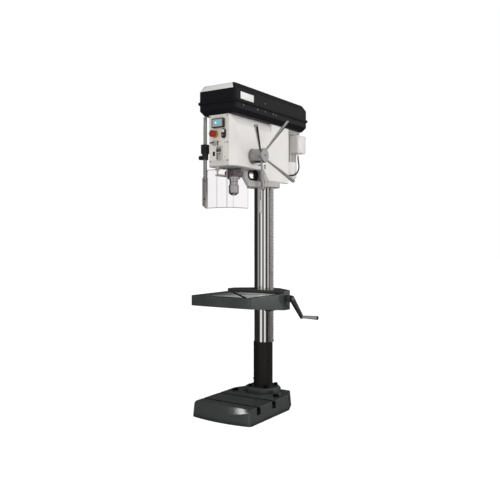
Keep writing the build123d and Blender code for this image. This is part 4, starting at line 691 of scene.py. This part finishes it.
# %% [markdown]
# ## Shaping
# Small pieces are modelled as by hand: faces or edges of a primitive are picked by place or direction, and
# edit-mode operators shape them. Meshes could be written as lists of points, but operators say how a piece
# is made.

# %% Add, pick and round
ALIGNED = 0.99


def mode(kind):
    """Enters edit or object mode."""
    bpy.ops.object.mode_set(mode=kind)


def alone(piece):
    """Makes this piece the only one selected."""
    bpy.ops.object.select_all(action="DESELECT")
    piece.select_set(True)
    bpy.context.view_layer.objects.active = piece


def blank(kind, **settings):
    """A new primitive with its place and size in its mesh."""
    bpy.ops.object.select_all(action="DESELECT")
    getattr(bpy.ops.mesh, f"primitive_{kind}_add")(**settings)
    bpy.ops.object.transform_apply(location=True, rotation=True, scale=True)
    return bpy.context.object


def block(width, height, thick):
    """A block that lies on the floor."""
    return blank("cube", size=1, scale=(width, height, thick), location=(0, 0, thick / 2))


def disc(radius, thick, sides=24):
    """A disc that lies on the floor."""
    return blank("cylinder", vertices=sides, radius=radius, depth=thick, location=(0, 0, thick / 2))


def pick(piece, faces=None, edges=None):
    """Selects the faces or edges that pass a test on their middle and direction."""
    mode("EDIT")
    bpy.ops.mesh.select_mode(type="FACE" if faces else "EDGE")
    bpy.ops.mesh.select_all(action="DESELECT")
    mode("OBJECT")
    mesh = piece.data
    if faces:
        for face in mesh.polygons:
            face.select = faces(face.center, face.normal)
    if edges:
        for edge in mesh.edges:
            start, end = (mesh.vertices[index].co for index in edge.vertices)
            edge.select = edges((start + end) / 2, (end - start).normalized())
    mode("EDIT")


def pick_top(piece):
    """Selects the face that looks up."""
    pick(piece, faces=lambda middle, normal: normal.z > ALIGNED)


def push(distance):
    """Extrudes the selected faces along Z."""
    bpy.ops.mesh.extrude_region_move(TRANSFORM_OT_translate={"value": (0, 0, distance)})


def round_edges(piece, width):
    """Rounds all sharp edges with an applied bevel."""
    mode("OBJECT")
    alone(piece)
    bevel = piece.modifiers.new("round", "BEVEL")
    bevel.width = width
    bevel.segments = 2
    bevel.limit_method = "ANGLE"
    bpy.ops.object.modifier_apply(modifier=bevel.name)


# %% [markdown]
# ## Seating
# A piece is modelled flat on the floor, then turned to the side that it sits on. It could be modelled in
# place, but a flat piece is easier to pick faces on. Turn and place go into its mesh, and it rides on the
# body that carries it. What repeats is modelled once and copied.

# %% Seat one piece or copies
FACING = {
    "right": (0, math.radians(90), 0),
    "left": (0, math.radians(-90), 0),
    "front": (math.radians(90), 0, 0),
    "up": (0, 0, 0),
}
SMOOTH_BELOW = math.radians(35)
# Each pairs the name of a material slot with the finish that a small piece gets, which says how it looks
PLASTIC = ("black_plastic", black_plastic)
STEEL = ("machined_steel", small_steel)
OXIDE = ("black_oxide", black_oxide)


def seat(piece, name, place, facing, body, slot, finish):
    """Turns a piece to its side, moves it to its place, and lets it ride on its body."""
    mode("OBJECT")
    alone(piece)
    piece.location = place
    piece.rotation_euler = FACING[facing] if isinstance(facing, str) else facing
    bpy.ops.object.transform_apply(location=True, rotation=True, scale=True)
    bpy.ops.object.shade_smooth_by_angle(angle=SMOOTH_BELOW)
    piece.name = name
    piece.data.name = name
    piece.data.materials.clear()
    piece.data.materials.append(finish)
    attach(piece, body)


def seat_copies(model, stem, places, facing, body, slot, finish):
    """Seats a copy of a model at each place, and removes the model."""
    mode("OBJECT")
    for number, place in enumerate(places, start=1):
        piece = model.copy()
        piece.data = model.data.copy()
        scene.collection.objects.link(piece)
        seat(piece, f"{stem}_{number}", place, facing, body, slot, finish)
    bpy.data.objects.remove(model)
    print(stem, "pieces:", len(places))


def middle_of(node):
    """The middle of a solid's box."""
    low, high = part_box(node)
    return (low + high) / 2


def size_of(node):
    """The size of a solid's box."""
    low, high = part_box(node)
    return high - low


def front_of(node):
    """The middle of a solid's front."""
    middle = middle_of(node)
    return Vector((middle.x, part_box(node)[0].y, middle.z))


print("sides to sit on:", ", ".join(FACING))

# %% [markdown]
# ## Lid band of painted reflection
# The lid's front bevel catches light in a pale band that narrows towards the top, and the band is a painted
# reflection. It could be a zone of the paint, but zones are upright boxes and the bevel slopes, so it is a
# thin sheet laid on it.

# %% Pale band of painted reflection
RIM = 0.010
BEVEL_IN = 0.020
BEVEL_DOWN = 0.036
BOX_CORNER = 0.014
BAND_T = 0.0008
BAND_SHARE = 0.94
lid_low, lid_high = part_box("lid")
lid_side = lid_high.x - RIM
lid_front = lid_low.y + RIM
slope = math.hypot(BEVEL_IN, BEVEL_DOWN)
tilt = math.atan2(BEVEL_DOWN, BEVEL_IN)
band_half = lid_side - BOX_CORNER
band = block(2 * band_half, slope * BAND_SHARE, BAND_T)
pick(band, faces=lambda middle, normal: normal.y > ALIGNED)
bpy.ops.transform.resize(value=((band_half - BEVEL_IN) / band_half, 1, 1))
round_edges(band, width=0.00032)
band_place = (0, lid_front + BEVEL_IN / 2, lid_high.z - BEVEL_DOWN / 2)
seat(band, "lid_front_reflection", band_place, (tilt, 0, 0), "lid", "white_paint", lid_reflection_band)
print("band in mm:", round(2000 * band_half), "by", round(1000 * slope * BAND_SHARE))

# %% [markdown]
# ## Side plate
# A bare plate sits on the lid's right side. A plain block would have sharp corners, which no stamped plate
# has, so its upright edges are bevelled first, and then all edges are softened.

# %% Bare plate
PLATE_Y = -0.384
PLATE_Z = 1.909


def plate(width, height, thick, corner, edge):
    """A flat plate with rounded corners and softened edges."""
    piece = block(width, height, thick)
    pick(piece, edges=lambda middle, along: abs(along.z) > ALIGNED)
    bpy.ops.mesh.bevel(offset=corner, segments=4, affect="EDGES")
    round_edges(piece, edge)
    return piece


side_plate = plate(width=0.042, height=0.140, thick=0.0008, corner=0.003, edge=0.0003)
plate_place = (lid_side, PLATE_Y, PLATE_Z)
seat(side_plate, "lid_side_plate", plate_place, "right", "lid", "white_plastic", white_plastic)
print("side plate faces:", len(side_plate.data.polygons))

# %% [markdown]
# ## Cover screws
# Cap screws hold the tray, in a row on each side, and one sits on the lid. Discs could do at this size, but
# the socket makes a small dark dot, so the top is inset and pushed down.

# %% Tray and lid screws
TRAY_SCREW_DROP = 0.020
TRAY_SCREW_ROWS = (-0.424, -0.272, -0.187, -0.092, -0.056)
LID_SCREW_ROW = -0.187
LID_SCREW_RISE = 0.028
SOCKET_RIM = 0.45
SOCKET_DEPTH = 0.6
SCREW_ROUND = 0.12


def seat_screws(stem, places, facing, body, slot, finish, radius, height):
    """Models a cap screw's head with its socket, and seats a copy at each place."""
    screw = disc(radius, height)
    pick_top(screw)
    bpy.ops.mesh.inset(thickness=radius * SOCKET_RIM)
    push(-height * SOCKET_DEPTH)
    round_edges(screw, radius * SCREW_ROUND)
    seat_copies(screw, stem, places, facing, body, slot, finish)


screw_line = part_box("belt_tray")[1].z - TRAY_SCREW_DROP
for side, sign in (("right", 1), ("left", -1)):
    tray_places = [(sign * lid_side, row, screw_line) for row in TRAY_SCREW_ROWS]
    seat_screws(f"tray_screw_{side}", tray_places, side, "frame", *STEEL, radius=0.0042, height=0.0026)
lid_screw_place = (lid_side, LID_SCREW_ROW, lid_low.z + LID_SCREW_RISE)
seat_screws("lid_screw", [lid_screw_place], "right", "lid", *STEEL, radius=0.004, height=0.0024)

# %% [markdown]
# ## Panel screws
# The panel is a flat sheet held by black cap screws, with a small bright lock low on the right. Printed
# dots could show them, but their heads stand out from the side, so they are modelled.

# %% Panel screws and lock
PANEL_SCREW_IN = 0.008
PANEL_SCREW_ROWS = (1.794, 1.532)
PANEL_MIDDLE_ROW = 1.638
LOCK_X = 0.046
LOCK_Z = 1.553
panel_low, panel_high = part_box("front_panel")
panel_y = panel_low.y
screw_x = panel_high.x - PANEL_SCREW_IN
panel_rows = [(x, panel_y, z) for x in (-screw_x, screw_x) for z in PANEL_SCREW_ROWS]
panel_rows.append((screw_x, panel_y, PANEL_MIDDLE_ROW))
seat_screws("panel_screw", panel_rows, "front", "frame", *OXIDE, radius=0.0036, height=0.0022)
lock_place = (LOCK_X, panel_y, LOCK_Z)
seat_screws("panel_lock", [lock_place], "front", "frame", *STEEL, radius=0.003, height=0.003)

# %% [markdown]
# ## Socket
# The black socket left of the readout is a moulded insert with a thin wall. A dark patch would do from
# afar, but the hollow shows from the side, so its front is inset and pushed in.

# %% Socket insert
SOCKET_X = -0.036
SOCKET_Z = 1.575
SOCKET_SUNK = 0.0055
insert = plate(width=0.0158, height=0.0258, thick=0.006, corner=0.0019, edge=0.0004)
pick_top(insert)
bpy.ops.mesh.inset(thickness=0.0022)
push(distance=-0.004)
seat(insert, "panel_socket", (SOCKET_X, panel_y + SOCKET_SUNK, SOCKET_Z), "front", "frame", *PLASTIC)
print("socket faces:", len(insert.data.polygons))

# %% [markdown]
# ## Readout
# The readout is a grey module: a dark window covers its recess, with two printed bars above, and keys sit
# on its raised pads. They could be painted on, but their edges catch light.

# %% Window, bars and keys
PAD = 0.0015
WINDOW_ROW = 0.20
BAR_ROW = 0.40
BARS_ACROSS = (-0.22, 0.1)
KEY_ACROSS = 0.21
KEY_ROWS = (-0.37, -0.22, -0.07)
WIDE_KEY_ROW = -0.295
unit = front_of("readout_module")
unit_size = size_of("readout_module")


def on_unit(across, up, sunk=0.0):
    """A place on the module's front, as shares of its width and height from its middle."""
    return unit + Vector((across * unit_size.x, sunk, up * unit_size.z))


window = plate(width=unit_size.x * 0.88, height=unit_size.z * 0.23, thick=0.0012, corner=0.0012, edge=0.0002)
seat(window, "readout_window", on_unit(0, WINDOW_ROW, PAD), "front", "frame", "black_plastic", window_glass)
bar = plate(width=unit_size.x * 0.2, height=unit_size.z * 0.035, thick=0.0004, corner=0.0004, edge=0.0001)
bar_places = [on_unit(across, BAR_ROW, PAD) for across in BARS_ACROSS]
seat_copies(bar, "readout_mark", bar_places, "front", "frame", *PLASTIC)
key = plate(width=unit_size.x * 0.26, height=unit_size.z * 0.075, thick=0.0012, corner=0.0012, edge=0.0004)
key_places = [on_unit(-KEY_ACROSS, row) for row in KEY_ROWS] + [on_unit(KEY_ACROSS, KEY_ROWS[-1])]
seat_copies(key, "readout_key", key_places, "front", "frame", *PLASTIC)
wide_key = plate(width=unit_size.x * 0.3, height=unit_size.z * 0.22, thick=0.0012, corner=0.002, edge=0.0004)
wide_place = on_unit(KEY_ACROSS, WIDE_KEY_ROW)
seat(wide_key, "readout_wide_key", wide_place, "front", "frame", "white_plastic", grey_plastic)

# %% [markdown]
# ## Selector
# The selector has a black lever on its grey disc, and printed bars show its positions. One piece could hold
# them all, but the lever turns with the disc while the bars stay on the panel.

# %% Lever and printed bars
LEVER_LEFT = 0.003
LINE_RIGHT = 0.0055
PRINT_T = 0.0003
PRINT_EDGE = 0.0001
DASHES = ((-0.003, 1.643), (0.009, 1.645), (0.044, 1.638))
knob = front_of("selector_knob")
lever = plate(width=0.034, height=0.006, thick=0.003, corner=0.0029, edge=0.0008)
seat(lever, "selector_lever", (knob.x - LEVER_LEFT, knob.y, knob.z), "front", "selector", *PLASTIC)
line = plate(width=0.008, height=0.030, thick=PRINT_T, corner=0.001, edge=PRINT_EDGE)
line_place = (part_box("selector_knob")[1].x + LINE_RIGHT, panel_y, knob.z)
seat(line, "selector_line", line_place, "front", "frame", *PLASTIC)
dash = plate(width=0.008, height=0.0034, thick=PRINT_T, corner=0.0008, edge=PRINT_EDGE)
seat_copies(dash, "selector_mark", [(x, panel_y, z) for x, z in DASHES], "front", "frame", *PLASTIC)

# %% [markdown]
# ## Button marks
# A bar marks the start button and a ring the stop button. Text could draw both, but a font sets its shapes,
# so plain meshes are used. The ring is a disc whose two faces are inset and bridged through.

# %% Bar and ring
def ring(inner, outer, height, sides=48):
    """A ring that lies on the floor."""
    piece = disc(outer, height, sides)
    pick(piece, faces=lambda middle, normal: abs(normal.z) > ALIGNED)
    bpy.ops.mesh.inset(thickness=outer - inner, use_individual=True)
    bpy.ops.mesh.bridge_edge_loops()
    return piece


stroke = plate(width=0.0016, height=0.008, thick=PRINT_T, corner=0.0006, edge=PRINT_EDGE)
seat(stroke, "start_mark", front_of("start_button"), "front", "start", *PLASTIC)
circle = ring(inner=0.0032, outer=0.0045, height=PRINT_T, sides=24)
seat(circle, "stop_mark", front_of("stop_button"), "front", "stop", "white_plastic", white_plastic)
print("ring faces:", len(circle.data.polygons))

# %% [markdown]
# ## Shield
# The shield is one sheet of clear polycarbonate, bent twice. Its sawn edges show as grey lines and its bends
# as white ones. Strips could stand for them, but they would part from the sheet, so a merged copy of the
# solid is cut along its borders and beside its bends, and those faces get their own finish.

# %% Sheet with sawn edges and bends
SHEET_T = 0.003
NARROW = 0.0036
MERGE = 0.00005
BENDS = (-0.020, 0.052)
BEND_HALF = 0.0012
SAWN, BENT = 1, 2
shield = bpy.data.objects.new("shield_sheet", nodes["guard_shield"].data.copy())
scene.collection.objects.link(shield)
alone(shield)
mode("EDIT")
bpy.ops.mesh.select_all(action="SELECT")
bpy.ops.mesh.remove_doubles(threshold=MERGE)
mode("OBJECT")
shield.data.materials.clear()
for finish in (clear_sheet, sawn_edge, bent_sheet):
    shield.data.materials.append(finish)
for face in shield.data.polygons:
    corners = [shield.data.vertices[index].co for index in face.vertices]
    sides = [(a - b).length for a, b in zip(corners, corners[1:] + corners[:1])]
    face.material_index = SAWN if min(sides) < NARROW else 0
shield_low, shield_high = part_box("guard_shield")
border_low = shield_low.z + SHEET_T
border_high = shield_high.z - SHEET_T
cuts = [((0, 0, border), (0, 0, 1)) for border in (border_low, border_high)]
cuts += [((bend + side * BEND_HALF, 0, 0), (1, 0, 0)) for bend in BENDS for side in (-1, 1)]
mode("EDIT")
for point, across in cuts:
    bpy.ops.mesh.select_all(action="SELECT")
    bpy.ops.mesh.bisect(plane_co=point, plane_no=across)
mode("OBJECT")
for face in shield.data.polygons:
    if not border_low < face.center.z < border_high:
        face.material_index = SAWN
    elif min(abs(face.center.x - bend) for bend in BENDS) < BEND_HALF:
        face.material_index = BENT
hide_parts("guard_shield")
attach(shield, "guard")
sawn = sum(face.material_index == SAWN for face in shield.data.polygons)
print("sawn faces on the shield:", sawn, "of", len(shield.data.polygons))

# %% [markdown]
# ## Guard fittings
# The rod ends in a push-in cap, cap screws hold the sheet in its channel, a pin keeps the rod there, and two
# screws close the switch box. The cap could be a zone of the rod, but it stands on the rod's end, so it is a
# rounded disc.

# %% Cap, screws and pin
BAR_SCREW_RIGHT = 0.004
BAR_SCREW_DOWN = 0.018
BAR_SCREW_UP = 0.055
PIN_SUNK = 0.0002
PIN_UP = 0.008
SWITCH_SCREW_IN = 0.012
SWITCH_SCREW_DOWN = 0.007
rod_low, rod_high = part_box("guard_rod")
rod = middle_of("guard_rod")
cap = disc(rod_high.x - rod.x, thick=0.005)
round_edges(cap, width=0.0015)
seat(cap, "rod_cap", (rod.x, rod.y, rod_high.z), "up", "guard", *PLASTIC)
bar_low, bar_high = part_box("guard_channel")
bar_levels = (bar_high.z - BAR_SCREW_DOWN, bar_low.z + BAR_SCREW_UP)
bar_screws = [(rod.x + BAR_SCREW_RIGHT, bar_low.y, level) for level in bar_levels]
seat_screws("shield_screw", bar_screws, "front", "guard", *OXIDE, radius=0.0045, height=0.003)
pin_place = (rod.x, rod_low.y + PIN_SUNK, bar_high.z + PIN_UP)
seat_screws("rod_pin", [pin_place], "front", "guard", *OXIDE, radius=0.003, height=0.002)
switch_low, switch_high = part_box("guard_switch_box")
switch_rows = (switch_low.y + SWITCH_SCREW_IN, switch_high.y - SWITCH_SCREW_IN)
switch_screws = [(switch_low.x, row, switch_high.z - SWITCH_SCREW_DOWN) for row in switch_rows]
seat_screws("switch_screw", switch_screws, "left", "frame", *STEEL, radius=0.003, height=0.002)

# %% [markdown]
# ## Quill wiper
# A black wiper ring closes the quill's bore under the head. A zone on the head could suggest it, but it
# hangs below the casting, so it is modelled, with a gap to the quill.

# %% Wiper ring
HEAD_FLOOR = 1.500
QUILL_GAP = 0.0006
WIPER_W = 0.008
WIPER_UP = 0.003
quill = middle_of("quill")
quill_r = size_of("quill").x / 2
wiper_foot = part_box("quill_collar")[1].z + WIPER_UP
wiper = ring(quill_r + QUILL_GAP, quill_r + WIPER_W, HEAD_FLOOR - wiper_foot)
round_edges(wiper, width=0.001)
seat(wiper, "quill_wiper", (quill.x, quill.y, wiper_foot), "up", "frame", *PLASTIC)
print("wiper height in mm:", round(1000 * (HEAD_FLOOR - wiper_foot), 1))

# %% [markdown]
# ## Quill locks
# Two cap screws and a small wing handle lock the quill from the right. The handle could start from two
# blocks, but one disc is enough: its top is pushed out and widened into a wing.

# %% Lock screws and wing handle
LOCK_ROW = -0.141
LOCK_LEVELS = (1.530, 1.516)
HANDLE_ROW = -0.209
HANDLE_LEVEL = 1.527
WING_WIDER = 4
cover_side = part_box("side_cover_right")[1].x
lock_places = [(cover_side, LOCK_ROW, level) for level in LOCK_LEVELS]
seat_screws("quill_lock", lock_places, "right", "frame", *OXIDE, radius=0.005, height=0.005)
handle = disc(radius=0.0035, thick=0.010)
pick_top(handle)
push(distance=0.006)
bpy.ops.transform.resize(value=(1, WING_WIDER, 1))
round_edges(handle, width=0.0008)
seat(handle, "quill_handle", (cover_side, HANDLE_ROW, HANDLE_LEVEL), "right", "frame", *OXIDE)

# %% [markdown]
# ## Spring nut
# A hexagon nut holds the return spring's cup on the left. A six-sided cylinder has its shape already, but
# real nuts are turned down at the top, so the top is inset and raised to a chamfer.

# %% Hexagon nut
NUT_R = 0.013
NUT_H = 0.009
CHAMFER_IN = 0.14
CHAMFER_UP = 0.1
NUT_ROUND = 0.05
nut = disc(NUT_R, NUT_H, sides=6)
pick_top(nut)
bpy.ops.mesh.inset(thickness=NUT_R * CHAMFER_IN, depth=NUT_H * CHAMFER_UP)
round_edges(nut, width=NUT_R * NUT_ROUND)
cup = middle_of("spring_cup")
nut_place = (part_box("spring_cup")[0].x, cup.y, cup.z)
seat_copies(nut, "spring_nut", [nut_place], "left", "frame", *STEEL)

# %% [markdown]
# ## Column sleeve
# A grub screw holds the black sleeve, low on the left. A dark dot could stand for it, but it is a little
# proud of the sleeve, so it is modelled and turned about the column to face outwards.

# %% Grub screw
SCREW_TURN = math.radians(-59.5)
SCREW_LEVEL = 0.170
sleeve_r = size_of("lower_sleeve").x / 2
screw_place = (sleeve_r * math.sin(SCREW_TURN), -sleeve_r * math.cos(SCREW_TURN), SCREW_LEVEL)
outwards = (math.radians(90), 0, SCREW_TURN)
seat_screws(
    "sleeve_screw", [screw_place], outwards, "frame", "black_oxide", blacked_screw, radius=0.005, height=0.003
)

# %% [markdown]
# ## Junction box
# The motor's junction box has a lid with a shadow gap round it and a screw in each corner. A groove could
# draw the gap, but the solid stays as it is, so a smaller plate lies on it.

# %% Lid and its screws
CASE_SHARE = 0.9
CASE_SCREW_SHARE = 0.39
CASE_SUNK = 0.001
CASE_SCREW_OUT = 0.003
case = middle_of("junction_box")
case_size = size_of("junction_box")
case_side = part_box("junction_box")[1].x
case_lid = plate(
    width=case_size.z * CASE_SHARE, height=case_size.y * CASE_SHARE, thick=0.004, corner=0.006, edge=0.0012
)
case_place = (case_side - CASE_SUNK, case.y, case.z)
seat(case_lid, "junction_lid", case_place, "right", "frame", "white_paint", white_coat)
case_screws = [
    (
        case_side + CASE_SCREW_OUT,
        case.y + across * case_size.y * CASE_SCREW_SHARE,
        case.z + up * case_size.z * CASE_SCREW_SHARE,
    )
    for across in (-1, 1) for up in (-1, 1)
]
seat_screws("junction_screw", case_screws, "right", "frame", *STEEL, radius=0.0035, height=0.002)

# %% [markdown]
# ## Motor cable
# A stiff cable leaves the junction box and bends into the right side cover. A mesh tube could follow its
# route, but a NURBS curve bends more smoothly.

# %% Cable
CABLE_D = 0.009
CABLE_ROUTE = (
    (0.091, 0.303, 1.636), (0.091, 0.303, 1.6084), (0.091, 0.3171, 1.57804), (0.091, 0.31146, 1.54492),
    (0.091, 0.27762, 1.5118), (0.091, 0.2184, 1.498), (0.091, 0.162, 1.498),
)
cable_data = bpy.data.curves.new("cable", "CURVE")
cable_data.dimensions = "3D"
cable_data.bevel_depth = CABLE_D / 2
cable_data.bevel_resolution = 6
cable_data.resolution_u = 12
spline = cable_data.splines.new("NURBS")
spline.points.add(len(CABLE_ROUTE) - 1)
for point, corner in zip(spline.points, CABLE_ROUTE):
    point.co = (*corner, 1)
spline.order_u = 3
spline.use_endpoint_u = True
cable = bpy.data.objects.new("cable", cable_data)
scene.collection.objects.link(cable)
cable_data.materials.append(cable_rubber)
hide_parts("motor_cable")
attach(cable, "frame")

# %% [markdown]
# ## Close
# A softer view transform could be chosen, but Standard shows colours as they are written.

# %% Finish
bpy.context.scene.view_settings.view_transform = "Standard"
